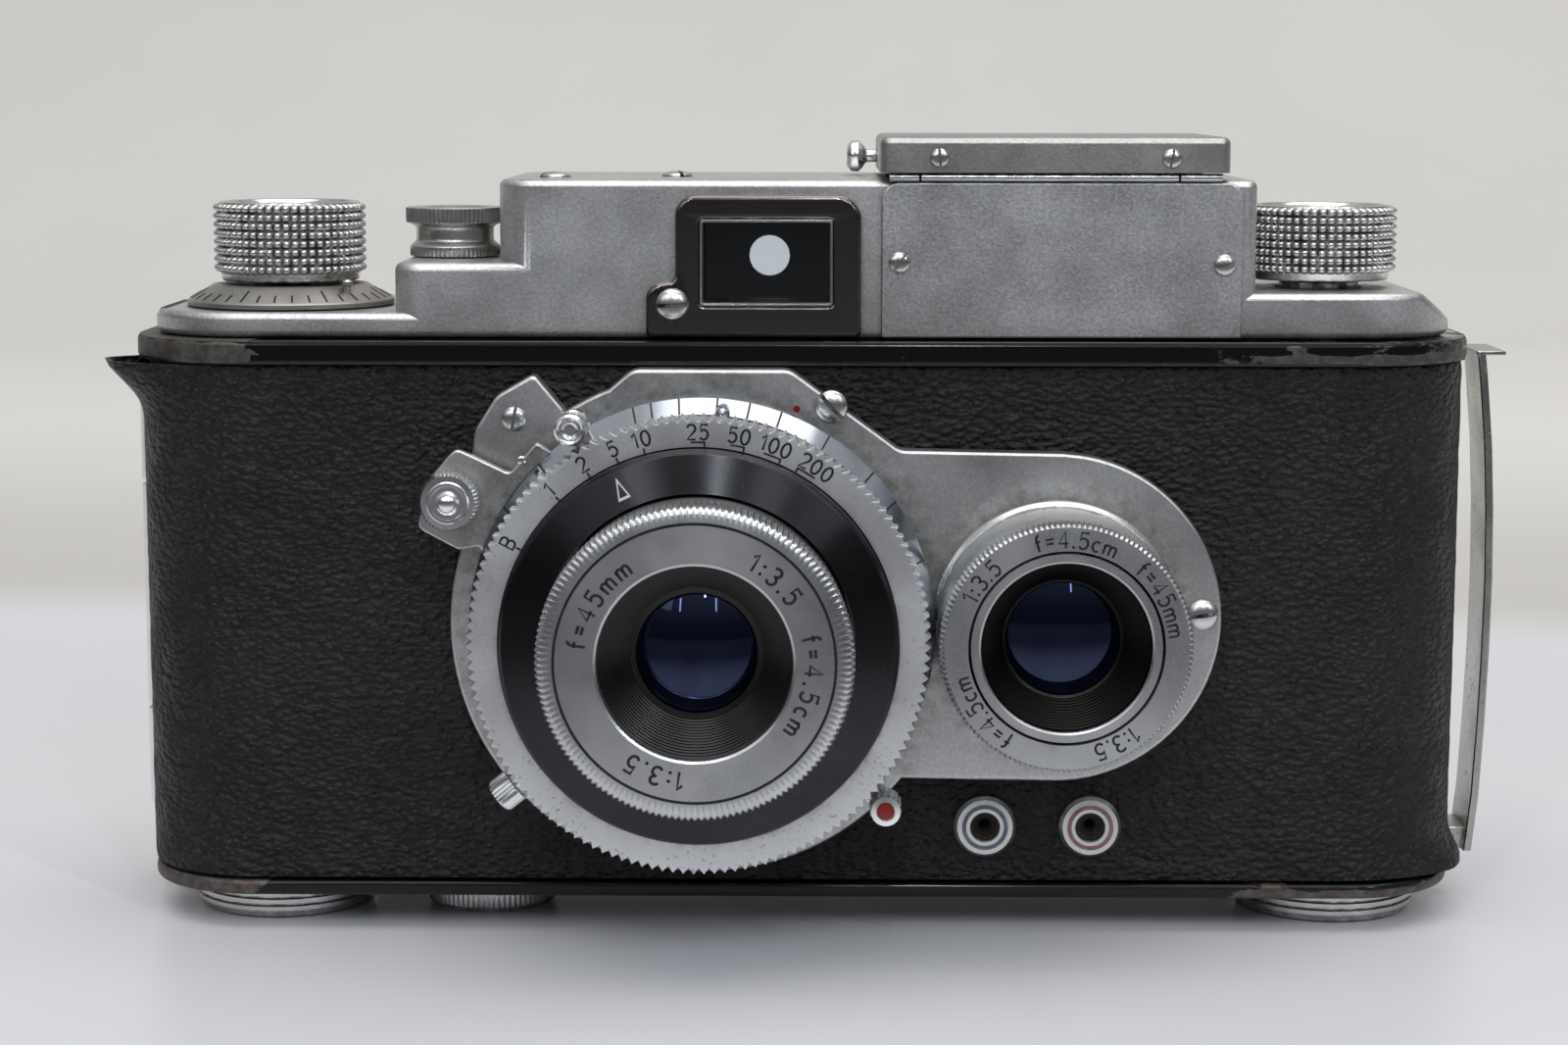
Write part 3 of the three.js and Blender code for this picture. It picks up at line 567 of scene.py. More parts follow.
def metal(name, colour, roughness, grain=0.0, grain_size=0.12, corner_shade_and_grime=0.35, patchy=0.05,
          shade_and_dirt_colour=(0.11, 0.085, 0.055), speckle=0.0, mottle=0.0):
    """Bare or plated metal with uneven gloss, a fine grain, and painted shade darkening its corners, made
    patchy like soiling.
    """
    finish = Finish(name, colour, 1.0, roughness)
    patches = finish.noise(9.0, 4)
    fine = finish.noise(grain_size, 3)
    bright = finish.fit(patches, 0.3, 0.7, 1 - patchy * 1.6, 1 + patchy)
    if mottle:
        sand = finish.fit(finish.noise(0.38, 2, 0.6), 0.3, 0.7, 1 - mottle, 1 + mottle)
        bright = finish.times(bright, sand)
    base = finish.node("VectorMath", {0: colour, 3: bright}, operation="SCALE").outputs[0]
    # Painted shade: ambient occlusion darkens the colour in corners, gaps, grooves and slots, made patchy
    # with noise; the specks below are real soiling.
    shade = finish.fit(finish.corners(), 0.35, 0.95, 1.0, 0.0)
    shade_and_stain = finish.times(shade, finish.fit(finish.noise(1.3, 4), 0.3, 0.7))
    shade_and_stain = finish.times(shade_and_stain, corner_shade_and_grime)
    if speckle:
        spots = finish.fit(finish.noise(0.42, 2), 0.60, 0.68)
        spots = finish.times(spots, finish.fit(finish.noise(4.0, 3), 0.35, 0.6, 0.0, speckle))
        shade_and_stain = finish.calc("MAXIMUM", shade_and_stain, spots)
    finish.set("Base Color", finish.blend(shade_and_stain, base, shade_and_dirt_colour))
    finish.set("Metallic", finish.fit(shade_and_stain, 0.0, 1.0, 1.0, 0.35))
    gloss = finish.plus(finish.fit(patches, 0.25, 0.75, roughness - patchy, roughness + patchy),
                        finish.fit(fine, 0.2, 0.8, -0.03, 0.03))
    finish.set("Roughness", finish.plus(gloss, finish.fit(shade_and_stain, 0, 1, 0, 0.25)))
    if grain:
        finish.raise_by(fine, grain)
    return finish


def turned_metal(name, colour, roughness, centre, line=0.11, depth=0.0016, spin=0.0, corner_shade_and_grime=0.35):
    """Metal cut on a lathe: fine rings round the centre that spread the highlights."""
    finish = metal(name, colour, roughness, corner_shade_and_grime=corner_shade_and_grime)
    finish.turn_lines(centre, line, depth)
    if spin:
        finish.spin(spin)
    return finish


def stained_plate():
    """Matt silver with brown stains gathered round the lens rings and in patches between them."""
    finish = metal("plate_silver", (0.57, 0.573, 0.57), 0.36, mottle=0.09, grain=0.008, corner_shade_and_grime=0.7,
                   speckle=0.12)
    clean = finish.shader.inputs["Base Color"].links[0].from_socket
    near = [finish.fit(finish.distance_from(centre), r, r + 4.5, 1.0, 0.0)
            for centre, r in ((TAKE, 24.1), (VIEW, 12.6))]
    blot = finish.fit(finish.noise(1.6, 5, 0.62), 0.38, 0.68)
    blot = finish.times(blot, finish.calc("MAXIMUM", *near))
    finish.set("Base Color", finish.blend(finish.times(blot, 0.6), clean, (0.20, 0.165, 0.10)))
    return finish


def leather_finish():
    """Pebbled leather whose raised tops are painted paler, partly as wear and partly as a painted sheen."""
    finish = Finish("black_leather", (0.010, 0.010, 0.011), 0.0, 0.45)
    pebbles = finish.cells(0.68, (0.8, 0.8, 1.3))
    creases = finish.noise(0.6, 3, 0.6, (0.8, 0.8, 1.2))
    ripples = finish.noise(1.3, 4, 0.55, (0.68, 0.68, 1.1))
    pores = finish.noise(0.16, 2)
    height = finish.times(pebbles, -2.0)
    for part, weight in ((creases, 1.0), (ripples, 1.3), (pores, 0.15)):
        height = finish.plus(height, finish.times(part, weight))
    finish.raise_by(height, 0.30)
    worn = finish.fit(finish.noise(14.0, 4), 0.42, 0.75)
    colour = finish.blend(worn, (0.0042, 0.0039, 0.0039), (0.0098, 0.0090, 0.0086))
    # Painted sheen: the ripple peaks between the pebbles are coloured paler, standing for glints as well as
    # wear.
    sheen_and_wear = finish.times(finish.fit(ripples, 0.42, 0.68), finish.fit(pebbles, 0.15, 0.55, 1.0, 0.0))
    colour = finish.blend(finish.times(sheen_and_wear, 0.62), colour, (0.026, 0.0245, 0.023))
    finish.set("Base Color", colour)
    finish.set("Roughness", finish.fit(finish.noise(5.0, 3), 0.3, 0.7, 0.38, 0.58))
    finish.set("Specular IOR Level", 0.30)
    return finish


def worn_enamel(name, middle, rust=(0.070, 0.060, 0.050)):
    """Black enamel on a band round the camera, rubbed through to dull metal at its left and right ends."""
    finish = Finish(name, (0.01, 0.01, 0.011), 0.0, 0.2)
    x = finish.coordinate("X")
    left = finish.fit(x, -60.0, -55.0, 1.0, 0.0)
    low = finish.fit(finish.coordinate("Z"), middle - 0.2, middle + 0.3, 1.0, 0.45)
    right = finish.times(finish.fit(x, 40.0, 52.0), low)
    ends = finish.calc("MAXIMUM", left, right)
    chips = finish.noise(2.6, 6, 0.68, (0.45, 0.45, 1.0))
    small = finish.noise(0.5, 3)
    level = finish.plus(finish.times(ends, 0.34), chips)
    level = finish.plus(level, finish.times(small, 0.05))
    bare = finish.fit(level, 0.715, 0.735)
    tone = finish.noise(1.1, 5, 0.65)
    steel = finish.blend(finish.fit(tone, 0.3, 0.65), (0.135, 0.13, 0.12), rust)
    finish.set("Base Color", finish.blend(bare, (0.004, 0.004, 0.0045), steel))
    finish.set("Metallic", finish.fit(bare, 0, 1, 0.0, 0.65))
    finish.set("Roughness", finish.fit(bare, 0, 1, 0.14, 0.5))
    finish.set("Specular IOR Level", 0.3)
    height = finish.calc("SUBTRACT", finish.times(finish.noise(3.5, 2), 0.25), bare)
    finish.raise_by(height, 0.05)
    return finish


def enamel(name, colour, roughness=0.3, fleck=0.02):
    """Paint with a few specks of dust."""
    finish = Finish(name, colour, 0.0, roughness)
    dust = finish.fit(finish.noise(0.35, 3), 0.62, 0.72, 0.0, fleck * 10)
    finish.set("Base Color", finish.blend(dust, colour, (0.25, 0.24, 0.22)))
    finish.set("Roughness", finish.fit(finish.noise(2.0, 3), 0.3, 0.7, roughness - 0.05, roughness + 0.1))
    finish.raise_by(finish.noise(0.5, 2), 0.01)
    return finish


def band_black():
    """Gloss black on a turned cone: fine rings draw the highlights out along the radius."""
    finish = Finish("turned_gloss_black", (0.04, 0.04, 0.044), 1.0, 0.26)
    dust = finish.fit(finish.noise(0.3, 3), 0.66, 0.72, 0.0, 0.35)
    finish.set("Base Color", finish.blend(dust, (0.045, 0.045, 0.049), (0.25, 0.24, 0.22)))
    finish.set("Roughness", finish.fit(finish.noise(6, 3), 0.3, 0.7, 0.23, 0.28))
    finish.spin(0.97)
    finish.turn_lines(TAKE, 0.09, 0.0008)
    return finish


def coated_glass():
    """A lens surface whose coating reflects blue; its near-black colour is painted shade for the dark inside
    of the lens.
    """
    # Painted shade: the surface is opaque and near-black, standing for the dark inside of the lens.
    finish = Finish("coated_glass", (0.0015, 0.002, 0.006), 0.0, 0.03)
    finish.set("IOR", 1.75)
    finish.set("Specular IOR Level", 0.75)
    finish.set("Specular Tint", (0.26, 0.32, 0.62, 1))
    finish.set("Roughness", finish.fit(finish.noise(4.0, 3), 0.3, 0.7, 0.015, 0.045))
    return finish


def clear_glass():
    """Thin window glass, a little dusty."""
    finish = Finish("glass", (0.9, 0.95, 1.0), 0.0, 0.02)
    finish.set("Transmission Weight", 1.0)
    finish.set("IOR", 1.5)
    finish.set("Roughness", finish.fit(finish.noise(3.0, 3), 0.4, 0.8, 0.02, 0.07))
    return finish


def ground_surface():
    """A finely ground screen that glows softly."""
    finish = Finish("ground_glass", (0.72, 0.75, 0.74), 0.0, 0.55)
    cloud = finish.fit(finish.noise(6, 3), 0.35, 0.7)
    finish.set("Transmission Weight", 0.6)
    finish.raise_by(finish.noise(0.12, 2), 0.03)
    finish.set("Base Color", finish.blend(cloud, (0.7, 0.73, 0.72), (0.8, 0.82, 0.8)))
    return finish


def mirror_surface():
    """Silvered glass, a little hazed."""
    finish = Finish("mirror", (0.86, 0.87, 0.88), 1.0, 0.04)
    finish.set("Roughness", finish.fit(finish.noise(3.0, 4), 0.4, 0.75, 0.02, 0.14))
    return finish


# Each finish below sets how strong the painted shade in its corners is; the knobs and screws take it
# strongest, darkening their grooves and slots.
CAST = metal("cast_silver", (0.62, 0.62, 0.612), 0.40, mottle=0.13, grain=0.022, grain_size=0.20, corner_shade_and_grime=0.75,
             speckle=0.18)
LID_SILVER = metal("lid_silver", (0.43, 0.43, 0.42), 0.40, mottle=0.08, grain=0.020, grain_size=0.20,
                   corner_shade_and_grime=0.6)
PANEL = metal("panel_silver", (0.58, 0.58, 0.573), 0.42, mottle=0.17, grain=0.026, grain_size=0.22, corner_shade_and_grime=0.6,
              speckle=0.25)
PLATE = stained_plate()
CHROME = metal("chrome", (0.86, 0.865, 0.87), 0.17, grain=0.001, corner_shade_and_grime=0.65)
WORN_CHROME = metal("worn_chrome", (0.62, 0.62, 0.61), 0.27, grain=0.003, corner_shade_and_grime=0.75, patchy=0.08)
DARK_CHROME = metal("dark_chrome", (0.18, 0.162, 0.16), 0.12, corner_shade_and_grime=0.3, patchy=0.02)
AGED_CHROME = metal("aged_chrome", (0.52, 0.515, 0.50), 0.27, grain=0.003, corner_shade_and_grime=0.85, patchy=0.08)
DULL_CHROME = metal("dull_chrome", (0.40, 0.385, 0.36), 0.36, grain=0.004, corner_shade_and_grime=0.9, patchy=0.10,
                    speckle=0.25)
STRIP_CHROME = metal("strip_chrome", (0.46, 0.452, 0.435), 0.26, grain=0.003, corner_shade_and_grime=0.9, patchy=0.09,
                     speckle=0.7, shade_and_dirt_colour=(0.16, 0.10, 0.045))
STEEL = metal("steel", (0.66, 0.66, 0.65), 0.24, grain=0.002, corner_shade_and_grime=1.2, shade_and_dirt_colour=(0.045, 0.037, 0.027))
KNOB_CHROME = metal("knob_chrome", (0.70, 0.705, 0.70), 0.20, grain=0.001, corner_shade_and_grime=1.2,
                    shade_and_dirt_colour=(0.05, 0.045, 0.035))
BLASTED = metal("beadblast_silver", (0.70, 0.705, 0.715), 0.42, grain=0.010, grain_size=0.10, speckle=0.5,
                corner_shade_and_grime=0.75)
TAKE_FACE = turned_metal("turned_silver", (0.56, 0.565, 0.57), 0.30, TAKE, spin=0.55, corner_shade_and_grime=0.8)
VIEW_FACE = turned_metal("turned_silver_viewer", (0.57, 0.575, 0.58), 0.30, VIEW, spin=0.5, corner_shade_and_grime=0.6)
POLISHED = turned_metal("polished_ring", (0.50, 0.54, 0.60), 0.13, TAKE, spin=0.3, depth=0.0004, corner_shade_and_grime=0.4)
BAND_BLACK = band_black()
LEATHER_SKIN = leather_finish()
TRIM_ENAMEL = worn_enamel("trim_enamel", 62.0)
BASE_ENAMEL = worn_enamel("base_enamel", 4.7, (0.085, 0.062, 0.052))
ENGRAVED = enamel("engraving_black", (0.006, 0.006, 0.007), 0.45)
RED = enamel("red_enamel", (0.20, 0.005, 0.007), 0.25)
WHITE = enamel("pale_enamel", (0.62, 0.62, 0.58), 0.4)
BLUE = enamel("blue_enamel", (0.10, 0.13, 0.19), 0.45)
PINK = enamel("faded_red_enamel", (0.30, 0.10, 0.095), 0.45)
BAKELITE = enamel("socket_insulator", (0.035, 0.028, 0.022), 0.4, 0.05)
INNER = enamel("inner_black", (0.011, 0.011, 0.012), 0.55)
RIDGED_VIEW = turned_metal("ridged_black_viewer", (0.016, 0.0155, 0.015), 0.36, VIEW, corner_shade_and_grime=0.2, line=0.2,
                           depth=0.002)
RIDGED = turned_metal("ridged_black", (0.040, 0.039, 0.038), 0.32, TAKE, corner_shade_and_grime=0.2, line=0.2, depth=0.002)
BLUE_GLASS = coated_glass()
CLEAR = clear_glass()
GROUND = ground_surface()
MIRROR = mirror_surface()


# ---- body: leather, bands, base, feet ------------------------------------------------------------
def skin_path(seam, step=0.75):
    """(x, y, outward x, outward y) along the leather, from the left seam round the front to the right one."""
    straight = seam - CORNER
    bend = CORNER * math.pi / 2
    front = 2 * (BODY_HALF - CORNER)
    length = 2 * straight + 2 * bend + front
    count = int(length / step)
    path = []
    for i in range(count + 1):
        s = length * i / count
        mirrored = s > length / 2
        t = length - s if mirrored else s
        if t < straight:
            x, y, nx, ny = -BODY_HALF, seam - t, -1.0, 0.0
        elif t < straight + bend:
            a = (t - straight) / CORNER
            x, y = -BODY_HALF + CORNER - CORNER * math.cos(a), CORNER - CORNER * math.sin(a)
            nx, ny = -math.cos(a), -math.sin(a)
        else:
            x, y, nx, ny = -BODY_HALF + CORNER + (t - straight - bend), 0.0, 0.0, -1.0
        path.append((-x, y, -nx, ny) if mirrored else (x, y, nx, ny))
    return path


def smooth(value, low, high):
    t = min(1.0, max(0.0, (value - low) / (high - low)))
    return t * t * (3 - 2 * t)


def leather_lift(x, y, z):
    """How far the leather stands off the body: it has curled away at its top left and lower right corners."""
    along = smooth(y, 0.3, 7.0) * (1 - smooth(y, 10.5, 14.2))
    top_left = 4.3 * smooth(z, 53.5, 61.5) ** 1.6 * along * (x < 0)
    low_right = 1.6 * (1 - smooth(z, 5.7, 11.0)) ** 1.5 * along * (x > 0)
    return top_left + low_right


def leather_skin(seam, curled):
    """A thin wavy sheet round the front of the body, from one seam to the other."""
    path = skin_path(seam)
    rows = int((LEATHER["z1"] - LEATHER["z0"]) / 0.75)
    verts = []
    for k in range(2):
        for j in range(rows + 1):
            z = LEATHER["z0"] + (LEATHER["z1"] - LEATHER["z0"]) * j / rows
            for x, y, nx, ny in path:
                ripple = noise.noise(Vector((x * 0.09, y * 0.09, z * 0.55))) * 0.07
                ripple += noise.noise(Vector((x * 0.35, y * 0.35, z * 1.3))) * 0.03
                edge = min(z - LEATHER["z0"], LEATHER["z1"] - z, 0.75) / 0.75
                lift = leather_lift(x, y, z) if curled else 0.0
                off = ripple * edge - 0.12 * (1 - edge) + lift
                off = off if k else off - LEATHER["thick"] + 0.08 * (1 - edge)
                verts.append((x + nx * off, y + ny * off, z))
    wide, high = len(path), rows + 1

    def at(k, j, i):
        return (k * high + j) * wide + i

    faces = []
    for k in range(2):
        for j in range(rows):
            for i in range(wide - 1):
                faces.append((at(k, j, i), at(k, j, i + 1), at(k, j + 1, i + 1), at(k, j + 1, i)))
    for i in range(wide - 1):
        for j in (0, rows):
            faces.append((at(0, j, i), at(0, j, i + 1), at(1, j, i + 1), at(1, j, i)))
    for j in range(rows):
        for i in (0, wide - 1):
            faces.append((at(0, j, i), at(0, j + 1, i), at(1, j + 1, i), at(1, j, i)))
    return Shape(verts, faces)


def make_leather():
    """The covering of the body and that of the door."""
    front = leather_skin(SEAM_Y - 0.15, True)
    holes = [rod(TAKE, 18.4, -6, 8), rod(VIEW, 10.4, -6, 8)]
    holes += [rod((x, SOCKET_Z), 3.05, -6, 8) for x in SOCKETS]
    front = combined(front, holes)
    piece("front_leather_skin", front, LEATHER_SKIN, "body", ["front_leather"], sharp=60)
    rear = leather_skin(BODY_DEPTH - SEAM_Y - 0.2, False)
    rear = rear.mapped(lambda x, y, z: (x, BODY_DEPTH - y, z))
    piece("door_leather_skin", rear, LEATHER_SKIN, "back", ["door_leather"], sharp=60)


def make_bands():
    """The black band above the leather and the black plate below it."""
    outer = plan(BAND["half"], -0.56, BODY_DEPTH + 0.56, CORNER + 0.5)
    inner = plan(BAND["half"] - 4.2, 3.6, BODY_DEPTH - 3.6, CORNER - 3.7)
    band = plate([outer, inner], BAND["z0"], BAND["z1"], "z", 0.55, 4)
    piece("trim_band", band, TRIM_ENAMEL, "body")
    outer = plan(BASE["half"] + 0.15, -0.35, BODY_DEPTH + 0.35, CORNER)
    base = plate([outer, circle(BUSH_X, FOOT_Y, 3.2, 40)], BASE["z0"], BASE["z1"], "z", 0.5, 4)
    piece("base_plate_shell", base, BASE_ENAMEL, "body", ["base_plate"])


def make_feet():
    """Two ridged discs and the knurled tripod bush."""
    for side, x in zip(("left", "right"), FEET_X):
        profile = [(0, 1.0), (3.6, 1.0), (4.1, 0.5), (4.2, 0.0), (8.9, 0.0), (9.5, 0.25), (9.75, 0.7)]
        for z in (0.95, 1.75, 2.55):
            profile += [(9.97, z), (9.97, z + 0.45), (9.62, z + 0.58), (9.62, z + 0.68)]
        profile += [(9.9, 3.4), (9.9, 3.75), (0, 3.75)]
        foot = lathe(profile, (x, FOOT_Y), "z", 128)
        piece(f"foot_disc_{side}", foot, WORN_CHROME, "body", [f"foot_{side}"])
    profile = rounded([(3.1, 0), (6.6, 0), (7.15, 0.5), (7.15, 3.2), (6.7, 3.75), (3.1, 3.75)], 0.15, 2)
    bush = knurled(closed(profile), (BUSH_X, FOOT_Y), 72, 0.28, 0.55, 3.1, 6.9, "z")
    piece("tripod_bush_knurled", bush, WORN_CHROME, "body", ["tripod_bush"])


def make_hinge():
    """Leaves on the left-hand end with rolled knuckles round the door's axis."""
    x, y = HINGE

    def leaf(flat, link, heights):
        parts = [block((-71.95, -71.42), (y + flat[0], y + flat[1]), (heights[0][0], heights[-1][1]), 0.15)]
        for z0, z1 in heights:
            parts.append(block((x, -71.5), (y + link[0], y + link[1]), (z0, z1), 0.1))
            parts.append(rod((x, y), 1.27, z0, z1, "z", 40, 0.15))
        return total(parts)

    body_leaf = leaf((-7.5, -1.0), (-1.2, 0.0), [(9, 20), (46, 57)])
    door_leaf = leaf((1.0, 7.0), (0.0, 1.2), [(20.4, 45.6)])
    piece("hinge_leaf_on_body", body_leaf, CHROME, "body", ["body_hinge_leaf"])
    piece("hinge_leaf_on_door", door_leaf, CHROME, "back", ["door_hinge_leaf"])


def make_side_latch():
    """The springy strip that bows out from the right-hand end."""
    outer = [(74.7, 5.6), (75.35, 12), (75.75, 20), (76.0, 28), (76.1, 36), (75.95, 44), (75.6, 51),
             (74.95, 58), (74.6, 61.2)]
    inner = [(x - 0.9, z) for x, z in reversed(outer)]
    strip = plate([outer + inner], STRIP["y0"], STRIP["y1"], "y", 0.2)
    foot = block((71.5, 74.3), (STRIP["y0"] + 1, STRIP["y1"] - 1), (5.6, 8.2), 0.3)
    tab = block((73.6, 76.75), (STRIP["y0"], STRIP["y1"] + 2), (60.9, 61.35), 0.12)
    piece("side_latch_strip", strip + foot + tab, STRIP_CHROME, "latch", ["side_latch"])


# ---- top cover -----------------------------------------------------------------------------------
def make_top_cover():
    """A low deck with a sloped right end, and on it a step and a housing that are rounded at the left."""
    front, rear = HOUSE["front"], BODY_DEPTH - 1.6
    left, right, slope_x, slope_z, high_x, high = DECK.values()
    side_view = [(left, COVER_Z), (right, COVER_Z), (right, slope_z), (slope_x, high), (high_x, high),
                 (high_x, STEP["z0"]), (left, STEP["z0"])]
    deck = prism(rounded(side_view, [0, 0, 0.9, 2.0, 0, 0, 1.4], 6), front, rear)
    around = prism(plan(-left, front, rear, 10.5, 20), COVER_Z - 1, 90, "z")
    deck = combined(deck, [around], "INTERSECT", bevel=0.8, segments=5, angle=38)

    def storey(part, right, end_radius, edge):
        corners = [(right, front), (right, rear), (part["x0"], rear), (part["x0"], front)]
        outline = rounded(corners, [end_radius, end_radius, part["corner"], part["corner"]], 14)
        return plate([outline], COVER_Z + 0.4, part.get("top") or part["z1"], "z", edge, 5)

    upper = [storey(STEP, -27.6, 0, 1.0), storey(HOUSE, HOUSE["x1"], 1.3, 0.8)]
    outside = combined(deck, upper, "UNION", solver="MANIFOLD")
    wall = COVER_WALL
    hollows = [
        prism(plan(-left - wall, front + wall, rear - wall, 9.3, 12), 60, 64.7, "z"),
        block((-39.3, -20), (front + wall + 2, rear - wall - 2), (64, 70.2), 0),
        block((HOUSE["x0"] + 3, HOUSE["x1"] - wall), (front + wall + 1, rear - wall - 1), (64, 78.9), 0),
        block((40, 64), (front + wall, rear - wall), (64, 67.1), 0),
        block((WELL["x0"] - 0.35, WELL["x1"] + 0.35), (WELL["y0"] - 0.35, WELL["y1"] + 0.35), (76, 90), 0),
        block((FINDER["x0"] - 0.2, FINDER["x1"] + 0.2), (0, 6), (FINDER["z0"] - 0.2, FINDER["z1"] + 0.2), 0),
        rod(EYE, 3.6, 28, 40),
        rod(SPOOL, 3.0, 62, 70, "z"),
        rod(COLLAR, 2.7, 66, 75, "z"),
        rod(CASSETTE, 4.8, 62, 75, "z"),
    ]
    cover = combined(outside, hollows, solver="MANIFOLD")
    piece("top_cover_casting", cover, CAST, "body", ["top_cover"], sharp=30)


def bead_knob(centre, z0, z1, rows=8, columns=54, r=8.24, deep=0.6):
    """A knob whose side is cut into rows and columns of small cushion-shaped beads."""
    bottom, top = z0 + 0.9, z1 - 0.2
    pitch = (top - bottom) / rows
    profile = [(0, z0), (7.3, z0), (7.5, z0 + 0.2), (7.5, z0 + 0.7)]
    for k in range(rows):
        profile += [(r, bottom + (k + step) * pitch) for step in (0.0, 0.12, 0.3, 0.5, 0.7, 0.88)]
    profile += [(r, top), (7.6, z1 - 0.05), (7.45, z1), (6.9, z1), (6.75, z1 - 0.12), (6.55, z1 - 0.5)]
    profile += [(5.2, z1 - 0.5), (5.1, z1 - 0.42), (0, z1 - 0.42)]

    def radius(reach, h, a):
        if reach < r:
            return reach
        along = abs(((h - bottom) / pitch) % 1.0 * 2 - 1)
        across = abs((a * columns / (2 * math.pi)) % 1.0 * 2 - 1)
        return r - deep * (1 - (1 - along ** 3) * (1 - across ** 3))

    return lathe(profile, centre, "z", columns * 8, radius)


def make_knobs():
    knobs = (("advance", SPOOL, 68.9, 77.4), ("rewind", CASSETTE, 69.2, 77.2))
    for body, centre, z0, z1 in knobs:
        knob = bead_knob(centre, z0, z1)
        piece(f"{body}_knob_beaded", knob, KNOB_CHROME, body, [f"{body}_knob"], sharp=50)


def make_counter():
    """A cone with a line for each frame, a longer one for every fifth, and the pin that sets it."""
    cone = closed([(3.4, 66.3), (11.2, 66.3), (11.2, 66.75), (11.0, 66.95), (8.4, 68.45), (8.1, 68.5),
                   (3.4, 68.5)])
    piece("counter_cone", lathe(cone, SPOOL, "z", 128), DULL_CHROME, "counter",
          ["counter_dial"])
    ticks = []
    for i in range(36):
        length = 2.1 if i % 5 == 0 else 1.25
        ends = [(11.0 - 2.6 * t, 66.95 + 1.5 * t + 0.02) for t in (0.06, 0.06 + length / 3.0)]
        ticks.append(turned_about(cone_line(ends, (0.5, 1), (-0.03, 0.03)), SPOOL, 10 * i))
    piece("counter_marks", total(ticks), ENGRAVED, "counter")
    profile = [(0, 67.2), (0.45, 67.2), (0.45, 68.5), (0.62, 68.6), (0.62, 69.0), (0.4, 69.2), (0, 69.25)]
    piece("counter_setting_pin", lathe(profile, (-48.7, 8.9), "z", 32), STEEL, "counter")


def make_release():
    """A knurled collar round a sunk button."""
    outline = [(2.7, 71.55), (4.9, 71.55), (4.9, 72.6), (4.2, 73.2), (4.2, 74.7), (5.3, 75.2), (5.3, 76.8),
               (3.7, 76.8), (2.7, 76.25)]
    profile = closed(rounded(outline, [0, 0.1, 0.2, 0.5, 0.5, 0.2, 0.15, 0.2, 0.1], 3))
    fine = knurl(64, 0.22, 75.25, 76.72, 5.0)
    lower = knurl(64, 0.14, 71.6, 72.5, 4.8)
    collar = lathe(profile, COLLAR, "z", 64 * 4, lambda r, h, a: lower(fine(r, h, a), h, a))
    piece("release_collar_knurled", collar, AGED_CHROME, "collar", ["release_collar"])
    profile = [(0, 64.6), (2.2, 64.6), (2.2, 75.7), (2.1, 75.95), (1.8, 76.1), (1.2, 76.02), (0, 75.9)]
    button = lathe(profile, COLLAR, "z", 48)
    piece("release_button_top", button, CHROME, "button", ["release_button"])


def make_cover_screws():
    screws("cover_screws", "body", [((-26.3, 10.5, 80.0), 1.7, 30), ((-13.4, 14.0, 80.0), 1.7, 110)], "+z")


# ---- finder --------------------------------------------------------------------------------------
def finder_window(margin, radius):
    """The finder's window with a margin added all round."""
    x0, x1, z0, z1 = FINDER.values()
    return rectangle(x0 - margin, x1 + margin, z0 - margin, z1 + margin, radius, 3)


def make_finder():
    """The bezel with its window, and the eyepiece behind."""
    outline = rounded([(-16.2, 63.6), (6.4, 63.6), (6.4, 78.6), (-13.1, 78.6), (-13.1, 69.7), (-16.2, 69.2)],
                      [0.75, 0.75, 2.6, 2.2, 0.9, 2.8], 8)
    rim = plate([outline, finder_window(0, 0.35)], 1.2, 2.55, "y", 0.6, 6)
    piece("finder_bezel", rim, DARK_CHROME, "body", ["finder_frame"])
    line = plate([finder_window(0.1, 0.3), finder_window(-0.15, 0.2)], 1.1, 1.45, "y", 0.04, 2)
    piece("finder_window_line", line, STEEL, "body")
    sleeve = plate([finder_window(0.35, 0.35), finder_window(-0.25, 0.25)], 1.5, 3.9, "y", 0.05, 1)
    piece("finder_window_sleeve", sleeve, INNER, "body")
    glass = block((-11.1, 4.0), (4.4, 5.4), (66.4, 76.4), 0.15)
    piece("finder_front_glass", glass, CLEAR, "body", ["finder_glass"])
    profile = rounded([(2.35, 32.3), (3.3, 32.3), (3.3, 33.5), (5.2, 33.5), (5.2, 34.6), (4.4, 34.6),
                       (2.9, 33.6), (2.35, 33.4)], 0.15, 3)
    piece("eyepiece_ring", lathe(closed(profile), EYE), WORN_CHROME, "body", ["eyepiece"])
    glass = lathe([(0, 32.6), (2.3, 32.7), (2.3, 33.2), (0, 33.3)], EYE, "y", 64)
    piece("eyepiece_glass", glass, CLEAR, "body")
    screws("finder_screw", "body", [((-13.4, 1.2, 67.1), 1.75, 3, 0.75, 0.25)])


# ---- reflex hood ---------------------------------------------------------------------------------
def make_nameplate():
    """The blank panel in front of the hood."""
    outline = rectangle(8.5, 46.3, 63.6, 79.9, [0.3, 0.3, 1.9, 1.9], 6)
    face = plate([outline], 1.9, 2.55, "y", 0.22, 3)
    piece("front_panel", face, PANEL, "body", ["nameplate"])
    heads = [((10.4, 1.95, 71.5), 1.15, 55, 0.45, 0.1), ((44.4, 1.95, 71.3), 1.15, 12, 0.45, 0.1)]
    screws("front_panel_screws", "body", heads)


